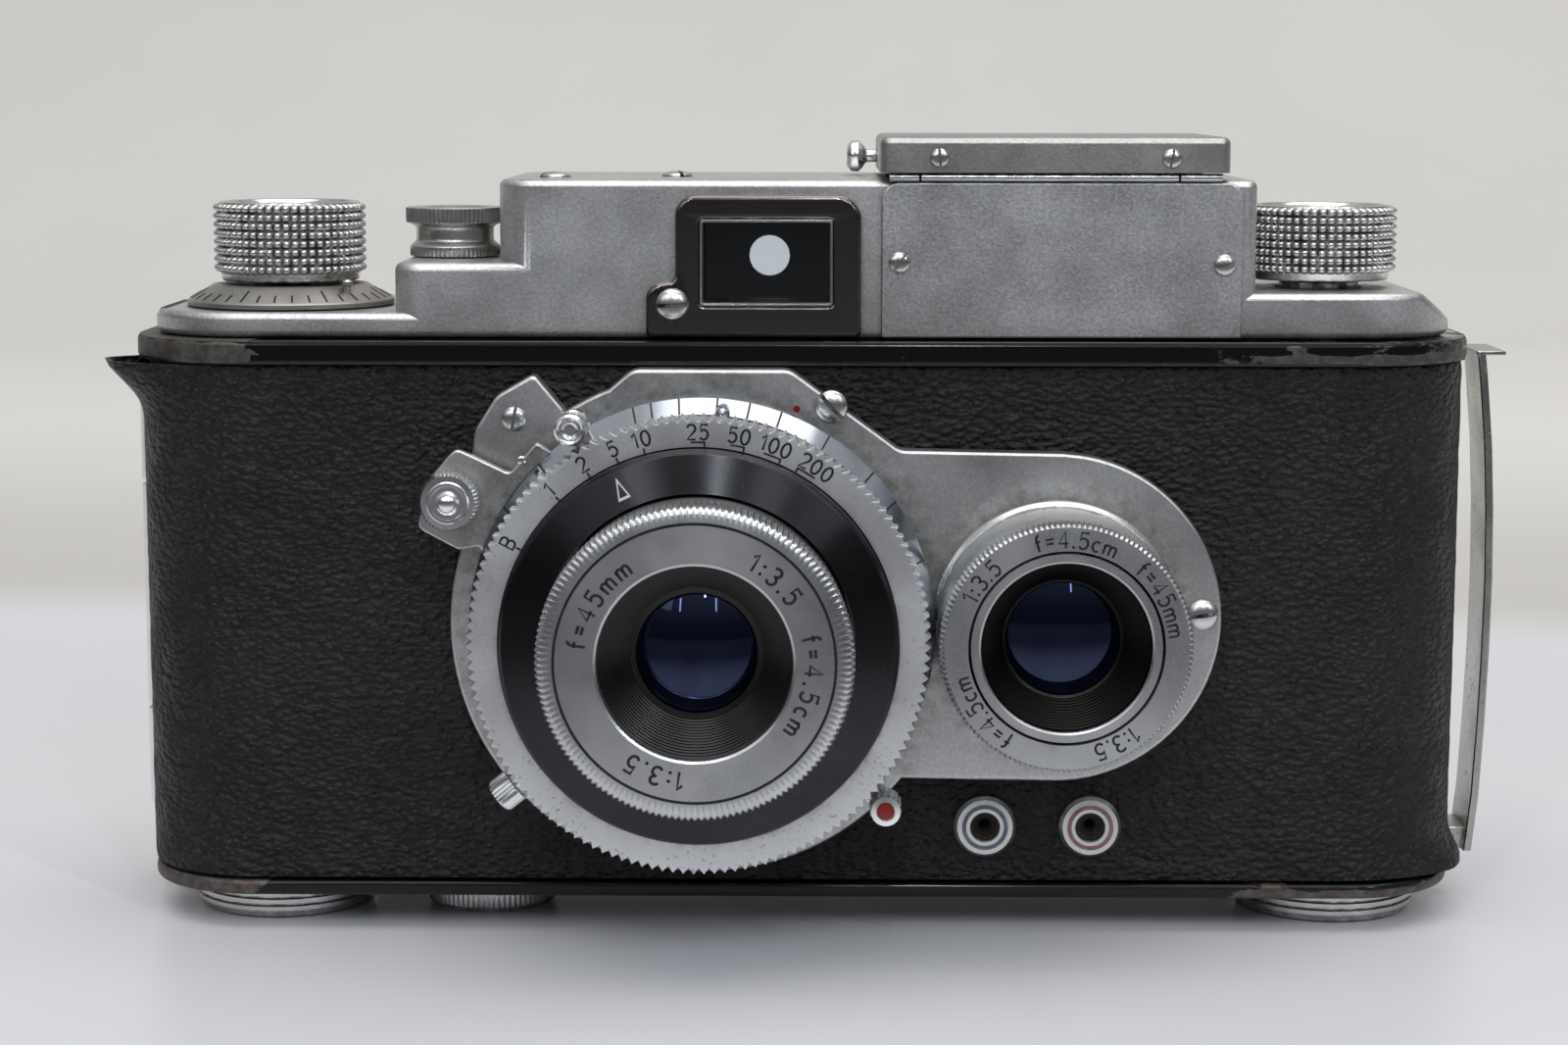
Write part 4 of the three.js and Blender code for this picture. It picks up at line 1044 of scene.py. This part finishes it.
def make_hood():
    """The lid with its screws, the hinge rod and the catch."""
    x0, x1, y0, y1, z0, z1 = LID.values()
    shell = plate([rectangle(x0, x1, y0, y1, 1.1, 6)], z0 - 1.2, z1, "z", 0.75, 5)
    below = block((x0 - 2, x1 + 2), (y0 - 2, y1 + 2), (z0 - 4, z0), 0)
    inside = block((x0 + 0.9, x1 - 0.9), (y0 + 0.9, y1 - 0.9), (z0 - 5, z1 - 0.9), 0)
    hole = rod(CATCH, 1.0, x0 - 1, x0 + 2, "x", 32)
    lid = combined(shell, [below, inside, hole])
    piece("hood_lid_shell", lid, LID_SILVER, "lid", ["hood_lid"])
    heads = [((14.5, 1.0, 82.45), 1.0, 95, 0.4, 0.1), ((38.6, 1.0, 82.4), 1.0, 80, 0.4, 0.1)]
    screws("hood_lid_screws", "lid", heads)
    knuckles = [(9.3, 12.4), (12.6, 39.4), (39.6, 44.0)]
    rods = [rod((1.75, 80.4), 0.42, a, b, "x", 24, 0.06) for a, b in knuckles]
    piece("hood_hinge_rod", total(rods), STEEL, "body")
    profile = rounded([(0, 5.0), (1.1, 5.0), (1.7, 5.45), (1.75, 6.25), (1.3, 6.75), (0.85, 7.0), (0.7, 7.2),
                       (0.7, 9.7), (0, 9.7)], 0.25, 3, is_open=True)
    piece("hood_catch_knob", lathe(profile, CATCH, "x", 48), CHROME, "catch", ["hood_catch"])


# ---- lens plate ----------------------------------------------------------------------------------
def joined_outline(outlines):
    """The outer boundary of overlapping flat outlines."""
    slabs = [prism(outline, 0, 1) for outline in outlines]
    whole = combined(slabs[0], slabs[1:], "UNION")
    flat = {i for i, v in enumerate(whole.verts) if v[1] < 0.5}
    used = {}
    for face in whole.faces:
        if all(i in flat for i in face):
            for a, b in zip(face, face[1:] + face[:1]):
                used.setdefault(frozenset((a, b)), []).append((a, b))
    ahead = {pair[0][0]: pair[0][1] for pair in used.values() if len(pair) == 1}
    loops = []
    while ahead:
        start, following = ahead.popitem()
        loop = [start]
        while following != start:
            loop.append(following)
            following = ahead.pop(following)
        loops.append([(whole.verts[i][0], whole.verts[i][2]) for i in loop])
    return max(loops, key=len)


def make_lens_plate():
    """One plate behind both lenses: a disc, a lobe, an ear and the flats between them."""
    disc = circle(*TAKE, 26.6, 120)
    flats = [(-24.0, 55.0), (-17.4, 60.7), (-1.0, 60.7), (10.5, 52.3), (27.8, 52.0), (26.84, 17.19),
             (10.8, 17.4), (0, 20)]
    lobe = circle(VIEW[0], VIEW[1] + 0.35, 17.4, 96)
    ear = [(-27.6, 60.2), (-31.6, 57.9), (-33.9, 54.3), (-34.3, 50.5), (-30.5, 46.0), (-23.0, 52.5),
           (-24.6, 56.6)]
    outline = joined_outline([disc, rounded(flats, [1.5, 2.5, 2.5, 2.0, 0, 0, 0, 0], 5), lobe,
                              rounded(ear, [0.8, 2.5, 3.0, 2.5, 0, 0, 0.8], 5)])
    whole = plate([outline, circle(*TAKE, 17.6, 96), circle(*VIEW, 10.2, 72)], -3.0, -0.1, "y", 0.4, 4)
    piece("lens_plate_front", whole, PLATE, "body", ["lens_plate"])
    heads = [((3.3, -3.0, 56.9), 1.75, -48, 0.7, 0.3), ((42.2, -3.0, 35.1), 1.6, 8, 0.6, 0.3),
             ((-29.7, -3.0, 55.5), 1.3, 80, 0.5, 0.2)]
    screws("lens_plate_screws", "body", heads)
    dot = lathe([(0, -2.9), (0.36, -2.9), (0.36, -3.03), (0, -3.06)], (-0.3, 56.6), "y", 32)
    piece("focus_index_dot", dot, RED, "body")


DISTANCE_MARKS = (-58, -44, -31, -17, -12.5, -5.5, 4, 12, 20, 33, 47, 56, 72, 90, 112)


def make_focus_ring():
    """The polished cone with its bead and its distance marks."""
    outline = [(17.3, -9.7), (22.6, -9.7), (22.7, -8.2), (24.25, -6.2), (24.3, -5.3), (23.55, -5.15),
               (23.55, -3.2), (17.3, -3.2)]
    cone = lathe(closed(rounded(outline, [0, 0.15, 0.1, 0.15, 0.1, 0, 0.1, 0], 3)), TAKE, "y", 160)
    dome = lathe([(0.75, -7.0), (0.75, -10.1), (0.6, -10.5), (0.35, -10.75), (0, -10.85)],
                 clock(TAKE, 23.1, 5.7), "y", 24)
    piece("focus_ring_cone", cone + dome, POLISHED, "focus", ["focus_ring"])
    mark = cone_line([(22.76, -8.12), (24.22, -6.24)], (1, 0), (-0.05, 0.03))
    marks = [mark.mapped(standing_at(TAKE, degrees)) for degrees in DISTANCE_MARKS]
    piece("distance_marks", total(marks), ENGRAVED, "focus")


def make_focus_lever():
    """A flat arm from the focus ring to a knurled button."""
    outline = [(-27.1, 53.5), (-25.6, 52.4)] + [clock(TAKE, 24.1, d) for d in range(-41, -72, -5)]
    outline += [(-33.0, 42.6), (-35.3, 42.2), (-39.6, 44.5), (-38.1, 49.8), (-36.3, 51.9), (-35.4, 52.8),
                (-29.9, 50.2)]
    radii = [0.5, 0] + [0] * 7 + [0.6, 0.6, 1.0, 1.0, 0.6, 0.8, 0.6]
    arm = plate([rounded(outline, radii, 3)], -6.4, -5.0, "y", 0.25, 3)
    piece("focus_lever_arm", arm, PLATE, "focus")
    profile = [(0, -11.0), (0.45, -10.95), (0.8, -10.75), (0.95, -10.45), (1.25, -10.2), (1.7, -10.2),
               (1.8, -10.4), (2.05, -10.4), (2.2, -10.15), (2.75, -10.1), (3.0, -9.85), (3.1, -9.5),
               (3.1, -6.95), (2.9, -6.7), (2.2, -6.5), (2.2, -6.3), (0, -6.3)]
    button = knurled(profile, LEVER_BUTTON, 44, 0.3, -10.0, -6.8, 2.95)
    piece("focus_lever_button", button, CHROME, "focus", ["focus_lever"])
    pin = lathe([(0, -6.3), (0.45, -6.3), (0.45, -6.75), (0, -6.95)], (-28.6, 51.6), "y", 20)
    piece("focus_lever_pin", pin, CHROME, "focus")


# ---- shutter and taking lens ---------------------------------------------------------------------
SPEEDS = (("B", -61), ("1", -43), ("2", -32), ("5", -23), ("10", -15), ("25", 0), ("50", 11), ("100", 21),
          ("200", 33))


def arc_mark(degrees, half, from_end):
    """A speed's span beside its number, and the tick that stands on the span."""
    if from_end:
        tick_at, span = degrees - half, (degrees - half, degrees + half * 0.3)
    else:
        tick_at, span = degrees + half * 0.6, (degrees - half * 0.6, degrees + half * 0.6)
    band = arc(*TAKE, 20.86, 20.86, 90 - span[1], 90 - span[0])
    band += arc(*TAKE, 20.68, 20.68, 90 - span[0], 90 - span[1])
    tick = radial_bar(TAKE, tick_at, 20.33, 20.85, 0.19, SPEED_FRONT - 0.03, SPEED_FRONT + 0.1)
    return [prism(band, SPEED_FRONT - 0.03, SPEED_FRONT + 0.1), tick]


def make_shutter():
    """The shutter case, and the toothed speed ring with its numbers."""
    outline = [(7.2, -10.9), (7.2, -9.95), (22.4, -9.95), (22.4, -13.3), (19.6, -13.3), (19.6, -10.9)]
    case = lathe(closed(rounded(outline, 0.1, 2)), TAKE, "y", 144)
    piece("shutter_case_ring", case, WORN_CHROME, "taking_unit", ["shutter_case"])
    profile = closed([(20.3, SPEED_FRONT), (22.75, SPEED_FRONT), (23.42, -16.14), (23.5, -16.05),
                      (23.5, -13.75), (23.1, -13.6), (20.3, -13.6)])
    toothed = knurled(profile, TAKE, 138, 0.62, -16.19, -13.7, 23.2)
    piece("speed_ring_toothed", toothed, BLASTED, "speed", ["speed_ring"], sharp=20)
    marks = []
    for text, degrees in SPEEDS:
        marks.append(ring_text(text, 1.5, TAKE, 21.8, degrees, SPEED_FRONT, 0.25, 0.3))
        if degrees < 0:
            marks.append(radial_bar(TAKE, degrees, 20.33, 20.85, 0.2, SPEED_FRONT - 0.03, SPEED_FRONT + 0.1))
        else:
            marks += arc_mark(degrees, {2: 3.2, 3: 4.2}[len(text)], degrees > 30)
    piece("speed_marks", total(marks), ENGRAVED, "speed")


def ridges(start, run, steps, ledge):
    """The stepped inside of a lens cone: ledges along a line from its start."""
    profile = []
    for k in range(steps):
        r, y = start[0] + run[0] * k / steps, start[1] + run[1] * k / steps
        profile += [(r, y), (r + ledge[0], y + ledge[1])]
    return profile


def make_index_ring():
    """The black cone and the outlined triangle that points at the speed."""
    outline = [(15.9, -18.75), (19.75, -17.75), (20.15, -17.2), (20.15, -13.5), (16.2, -13.5),
               (16.2, -17.0), (15.9, -17.0)]
    band = lathe(closed(rounded(outline, [0, 0.25, 0.3, 0, 0, 0, 0])), TAKE, "y", 192)
    piece("index_ring_black", band, BAND_BLACK, "taking_unit", ["index_ring"])
    corners = [clock(TAKE, 19.2, -25), clock(TAKE, 16.9, -27.3), clock(TAKE, 16.9, -22.7)]
    middle = [sum(p[k] for p in corners) / 3 for k in (0, 1)]
    inner = [tuple(middle[k] + (p[k] - middle[k]) * 0.66 for k in (0, 1)) for p in corners]
    triangle = plate([corners, inner], -0.1, 0.05, "y", 0.02, 0)
    triangle = triangle.mapped(lambda x, y, z: (x, y - 18.72 + (math.dist((x, z), TAKE) - 15.9) * 0.26, z))
    piece("speed_index_triangle", triangle, WHITE, "taking_unit")


def make_taking_ring():
    """The front ring with its marks, and the ridged cone inside it."""
    profile = closed([(9.6, -25.25), (9.7, -25.55), (9.95, TAKE_FRONT), (13.7, TAKE_FRONT), (13.7, -25.55),
                      (14.0, -25.55), (14.0, TAKE_FRONT), (14.85, TAKE_FRONT), (15.55, -25.45),
                      (15.76, -25.15), (15.76, -22.2), (15.5, -21.9), (15.5, -13.5), (11.4, -13.5),
                      (11.4, -24.7), (9.6, -24.75)])
    front = knurled(profile, TAKE, 152, 0.3, -25.6, -22.1, 15.2)
    piece("taking_lens_ring", front, TAKE_FACE, "taking_unit", ["lens_front_ring"], sharp=28)
    line = closed([(13.72, -25.5), (13.72, -25.6), (13.98, -25.6), (13.98, -25.5)])
    marks = [lathe(line, TAKE, "y", 160)]
    for text, degrees in (("1:3.5", 43), ("f=4.5cm", 101), ("f=45mm", -58), ("1:3.5", -160)):
        marks.append(ring_text(text, 1.8, TAKE, 11.7, degrees, TAKE_FRONT, 0.32, 0.42))
    piece("taking_lens_marks", total(marks), ENGRAVED, "taking_unit")
    profile = [(9.95, -24.72)] + ridges((9.7, -24.65), (-3.2, 5.25), 15, (-0.05, 0.24))
    profile += [(6.1, -19.4), (6.1, -19.0), (11.1, -19.0), (11.1, -24.5), (9.95, -24.5)]
    cone = lathe(closed(profile), TAKE, "y", 128)
    piece("taking_lens_cone", cone, RIDGED, "taking_unit", ["lens_cone"])


def dome_profile(edge_r, edge_y, rise, steps=16):
    """From the axis out to the edge of a lens surface that stands proud by a rise towards -Y."""
    return [(edge_r * k / steps, edge_y - rise * (1 - (k / steps) ** 2)) for k in range(steps + 1)]


def make_glass():
    """The front surfaces of both lenses."""
    front = dome_profile(6.7, -18.6, 1.3) + [(10.9, -18.6), (10.9, -15.6), (6.0, -15.6), (0, -15.1)]
    piece("taking_front_glass", lathe(front, TAKE), BLUE_GLASS, "taking_unit",
          ["front_element"])
    front = dome_profile(6.5, -12.2, 1.05) + [(8.5, -12.2), (8.5, -9.4), (5.6, -9.2), (0, -8.8)]
    piece("viewing_front_glass", lathe(front, VIEW), BLUE_GLASS, "viewing_unit",
          ["viewing_element"])


def tongue(degrees, reach):
    """The flat bar between the shutter's rim and a control peg."""
    shape = radial_bar(TAKE, degrees, 22.9, reach, 2.2, -12.55, -11.25)
    return combined(shape, [], bevel=0.2, segments=2, angle=50)


def make_pegs():
    """Three levers on the shutter's rim: each is a flat bar with a peg at its end."""
    cocking, aperture, timer = -30, 90 - 218.5, 90 - 318.4
    profile = [(0, -16.5), (0.55, -16.5), (0.6, -16.95), (0.85, -17.1), (1.0, -16.9), (1.1, -17.05),
               (1.35, -17.2), (1.6, -16.9), (1.6, -13.6), (1.3, -13.3), (1.3, -12.6), (1.6, -12.4),
               (1.6, -11.3), (0, -11.3)]
    peg = knurled(profile, clock(TAKE, 25.4, cocking), 32, 0.14, -16.8, -13.5, 1.5)
    piece("cocking_peg", peg + tongue(cocking, 25.0), CHROME, "cocking", ["cocking_lever"])
    profile = [(0, -1.6), (1.15, -1.6), (1.15, -1.1), (1.75, -1.0), (1.8, -0.8), (1.8, 1.0), (1.6, 1.3),
               (1.0, 1.6), (0, 1.7)]
    place = standing_at(TAKE, aperture)
    barrel = knurled(profile, (0, 0), 26, 0.16, -0.9, 1.1, 1.7, "z")
    barrel = barrel.mapped(lambda x, y, z: place(25.2 + z, x, y - 11.9))
    piece("aperture_peg", barrel + tongue(aperture, 24.4), CHROME, "aperture", ["aperture_lever"])
    centre = clock(TAKE, 25.4, timer)
    profile = [(0, -15.9), (0.95, -15.9), (0.98, -16.25), (1.5, -16.2), (1.68, -15.9), (1.68, -12.6),
               (1.4, -12.4), (1.4, -11.3), (0, -11.3)]
    peg = knurled(profile, centre, 18, 0.2, -16.0, -12.7, 1.6)
    piece("timer_peg", peg + tongue(timer, 25.0), CHROME, "timer", ["timer_lever"])
    dot = lathe([(0, -15.8), (0.93, -15.8), (0.88, -15.98), (0.5, -16.06), (0, -16.09)], centre, "y", 32)
    piece("timer_peg_dot", dot, RED, "timer")


# ---- viewing lens and flash sockets --------------------------------------------------------------
def make_viewing_lens():
    """The flange, the knurled ring with its marks, the tube and the ridged cone."""
    outline = [(10.2, -5.0), (12.55, -5.0), (13.0, -4.55), (13.0, -3.05), (10.2, -3.05)]
    flange = lathe(closed(rounded(outline, [0, 0.2, 0.2, 0, 0], 3)), VIEW, "y", 120)
    piece("viewing_flange_ring", flange, WORN_CHROME, "body", ["viewing_flange"])
    profile = closed([(9.85, VIEW_FRONT), (12.25, VIEW_FRONT), (12.62, -18.4), (12.73, -18.1), (12.73, -16.4),
                      (12.45, -16.2), (12.45, -6.2), (12.1, -5.5), (9.85, -5.5)])
    front = knurled(profile, VIEW, 140, 0.24, -18.5, -16.3, 12.5)
    piece("viewing_focus_ring", front, VIEW_FACE, "viewing_ring", ["viewing_ring"], sharp=28)
    marks = []
    for text, degrees in (("1:3.5", -52), ("f=4.5cm", 4), ("f=45mm", 62), ("1:3.5", 152), ("f=4.5cm", -128)):
        marks.append(ring_text(text, 1.65, VIEW, 11.0, degrees, VIEW_FRONT, 0.26, 0.3))
    piece("viewing_marks", total(marks), ENGRAVED, "viewing_ring")
    profile = closed([(8.5, -18.1), (8.6, -18.45), (8.8, -18.6), (9.55, -18.6), (9.6, -18.5), (9.6, 0.5),
                      (8.7, 0.5), (8.7, -18.0)])
    tube = lathe(profile, VIEW, "y", 120)
    piece("viewing_tube", tube, VIEW_FACE, "viewing_unit", ["viewing_cell"])
    profile = [(8.62, -18.3)] + ridges((8.42, -18.05), (-2.45, 5.2), 12, (-0.04, 0.3))
    profile += [(5.85, -12.85), (5.85, -12.6), (6.3, -12.6), (8.62, -17.8)]
    cone = lathe(closed(profile), VIEW, "y", 112)
    piece("viewing_cone", cone, RIDGED_VIEW, "viewing_unit")


def make_sockets():
    """Each socket is a shell round a dark insert, with a ring of paint."""
    shell = [(0, 8.0), (2.8, 8.0), (2.8, 0.1), (3.3, 0.1), (3.3, -0.5), (2.95, -0.92), (2.45, -0.95),
             (2.38, -0.8), (2.08, -0.8), (2.0, -0.95), (1.62, -0.95), (1.5, -0.8), (1.5, 5.0), (0, 5.0)]
    paint = closed([(2.12, -0.7), (2.12, -0.86), (2.34, -0.86), (2.34, -0.7)])
    insert = [(0, 4.9), (1.5, 4.9), (1.5, -0.35), (1.3, -0.45), (1.15, -0.3), (1.0, 0.1), (0.85, 0.0),
              (0.7, 0.2), (0.5, 1.2), (0.45, 3.5), (0, 3.5)]
    for side, x, accent in zip(("left", "right"), SOCKETS, (BLUE, PINK)):
        at = (x, SOCKET_Z)
        piece(f"flash_socket_shell_{side}", lathe(shell, at, "y", 72), WORN_CHROME, "body",
              [f"flash_socket_{side}"])
        piece(f"flash_socket_accent_{side}", lathe(paint, at, "y", 72), accent, "body")
        piece(f"flash_socket_insert_{side}", lathe(insert, at, "y", 48), BAKELITE, "body")


# ---- finishes on the parts that keep their CAD mesh ----------------------------------------------
CARRIED = {
    "body_shell": INNER, "back_door": INNER, "pressure_plate": INNER, "advance_shaft": STEEL,
    "takeup_spool": INNER, "sprocket": STEEL, "rewind_shaft": STEEL, "rewind_sleeve": STEEL,
    "finder_tube": INNER, "hood_well": INNER, "ground_glass": GROUND, "hood_flap_left": INNER,
    "hood_flap_right": INNER, "magnifier_arm": INNER, "magnifier_lens": CLEAR, "mirror_carrier": INNER,
    "mirror": MIRROR, "taking_barrel": WORN_CHROME, "shutter_blade_left": STEEL, "shutter_blade_right": STEEL,
    "rear_element": BLUE_GLASS,
}


def dress_cad_parts():
    """Gives the CAD meshes that stay in view their finishes."""
    for name, finish in CARRIED.items():
        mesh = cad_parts[name].data
        mesh.materials.clear()
        mesh.materials.append(finish.material)


# ---- floor, wall, light and camera ---------------------------------------------------------------
def make_stage():
    """A white table, and behind it a pale wall tone that rises slowly in the distance: painted shade darkens
    the wall near the table and fades further back, and the table is painted dark in front of the object as
    painted shade for the dim room that the metal mirrors.
    """
    floor = Finish("table_and_wall", (0.8, 0.8, 0.8), 0.0, 0.5)
    along = floor.plus(floor.coordinate("Y"), floor.times(floor.coordinate("X"), 0.09))
    behind = floor.fit(along, 176.0, 228.0)
    table = floor.blend(floor.fit(floor.noise(90.0, 3), 0.3, 0.7), (0.71, 0.715, 0.745), (0.735, 0.74, 0.765))
    wall = floor.blend(floor.fit(floor.noise(160.0, 3), 0.3, 0.7), (0.79, 0.77, 0.735), (0.82, 0.80, 0.765))
    # Painted shade: the wall is darkened near the table, fading away with distance.
    wall = floor.blend(floor.fit(along, 215.0, 520.0, 0.55, 0.0), wall, (0.42, 0.40, 0.37))
    # Painted shade: the table darkens between 50 mm and 160 mm in front of the object, standing for the dim
    # room that the metal mirrors.
    near = floor.blend(floor.fit(along, -160.0, -50.0), (0.08, 0.078, 0.08), table)
    floor.set("Base Color", floor.blend(behind, near, wall))
    floor.set("Roughness", floor.fit(along, 150.0, 240.0, 0.34, 0.85))
    floor.raise_by(floor.noise(1.4, 3), 0.01)
    start, bend, top = 800, 500, 1500
    profile = [(-2500, 0), (-300, 0)] + arc(start, bend, bend, bend, -90, 0, 16) + [(start + bend, top)]
    across = (-2400, -600, 600, 2400)
    verts = [in_frame(x, y, z) for y, z in profile for x in across]
    faces = [(j * 4 + i, j * 4 + i + 1, j * 4 + i + 5, j * 4 + i + 4)
             for j in range(len(profile) - 1) for i in range(3)]
    mesh = bpy.data.meshes.new("sweep")
    mesh.from_pydata(verts, [], faces)
    mesh.polygons.foreach_set("use_smooth", [True] * len(mesh.polygons))
    mesh.materials.append(floor.material)
    sweep = linked("sweep", mesh)


def make_light(name, at, aim, size, power, colour=(1, 1, 1)):
    """A rectangular lamp that faces its target."""
    data = bpy.data.lights.new(name, "AREA")
    data.shape = "RECTANGLE"
    data.size, data.size_y = size
    data.energy = power
    data.color = colour
    lamp = linked(name, data)
    lamp.location = at
    lamp.rotation_euler = (Vector(aim) - Vector(at)).to_track_quat("-Z", "Y").to_euler()


# The surroundings that the metal reflects, from straight down to straight up.
SKY = ((0.0, (0.40, 0.41, 0.43)), (0.44, (0.16, 0.16, 0.17)), (0.5, (0.10, 0.10, 0.105)),
       (0.58, (0.15, 0.155, 0.17)), (0.72, (0.55, 0.56, 0.60)), (1.0, (1.0, 1.0, 1.0)))


def make_world():
    """The surroundings as a ramp of greys from below to above."""
    world = bpy.data.worlds.new("studio")
    bpy.context.scene.world = world
    world.use_nodes = True
    tree = world.node_tree
    back = tree.nodes["Background"]
    back.inputs["Strength"].default_value = 0.6
    where, parts, lift, ramp = (tree.nodes.new("ShaderNode" + kind)
                                for kind in ("TexCoord", "SeparateXYZ", "MapRange", "ValToRGB"))
    lift.inputs["From Min"].default_value = -1
    lift.inputs["From Max"].default_value = 1
    tree.links.new(where.outputs["Generated"], parts.inputs[0])
    tree.links.new(parts.outputs["Z"], lift.inputs["Value"])
    tree.links.new(lift.outputs["Result"], ramp.inputs[0])
    tree.links.new(ramp.outputs["Color"], back.inputs["Color"])
    stops = ramp.color_ramp.elements
    stops[0].color = (*SKY[0][1], 1)
    stops[-1].color = (*SKY[-1][1], 1)
    for position, colour in SKY[1:-1]:
        stops.new(position).color = (*colour, 1)


def make_lights():
    """A broad ceiling, a fill from the left, and windows and tubes that the metal mirrors."""
    target = (0, 0.02, 0.04)
    make_light("ceiling", (0.1, -0.15, 1.5), target, (1.8, 1.2), 11.5, (1.0, 0.99, 0.96))
    make_light("front_left", (-0.9, -1.3, 0.9), target, (0.9, 0.7), 2, (0.93, 0.96, 1.0))
    for k, x in enumerate((-0.33, 0.24)):
        make_light(f"pane_{k}", (x, -1.3, 0.55), target, (0.018, 0.2), 0.14, (0.8, 0.9, 1.0))
    for k, (x, power) in enumerate(((-0.42, 1.6), (0.06, 3.0), (0.42, 1.6), (0.95, 3.6))):
        make_light(f"tube_{k}", (x, -1.2, 0.95), target, (0.02, 0.6), power, (0.90, 0.94, 1.0))


# Where the photograph was taken from, in millimetres and degrees.
EYE_POINT = (2.35, -322.36, 89.65)
PITCH, YAW, ROLL = 8.01, -0.71, -0.06
FOCAL_LENGTH = 70.93
SENSOR_WIDTH = 36.0


def make_camera():
    """The camera that took the photograph."""
    data = bpy.data.cameras.new("camera")
    data.lens = FOCAL_LENGTH
    data.sensor_width = SENSOR_WIDTH
    data.clip_start, data.clip_end = 0.01, 10
    eye = linked("camera", data)
    pitch, yaw, roll = (math.radians(turn) for turn in (PITCH, YAW, ROLL))
    ahead = Vector((math.sin(yaw) * math.cos(pitch), math.cos(yaw) * math.cos(pitch), -math.sin(pitch)))
    turn = Matrix.Rotation(roll, 3, ahead) @ ahead.to_track_quat("-Z", "Y").to_matrix()
    eye.location = in_frame(*EYE_POINT)
    eye.rotation_mode = "QUATERNION"
    eye.rotation_quaternion = turn.to_quaternion()
    bpy.context.scene.camera = eye


for make in (make_leather, make_bands, make_feet, make_hinge, make_side_latch, make_top_cover, make_knobs,
             make_counter, make_release, make_cover_screws, make_finder, make_nameplate, make_hood,
             make_lens_plate, make_focus_ring, make_focus_lever, make_shutter, make_index_ring,
             make_taking_ring, make_glass, make_pegs, make_viewing_lens, make_sockets, dress_cad_parts,
             make_stage, make_world, make_lights, make_camera):
    make()

bpy.context.scene.view_settings.view_transform = "Standard"
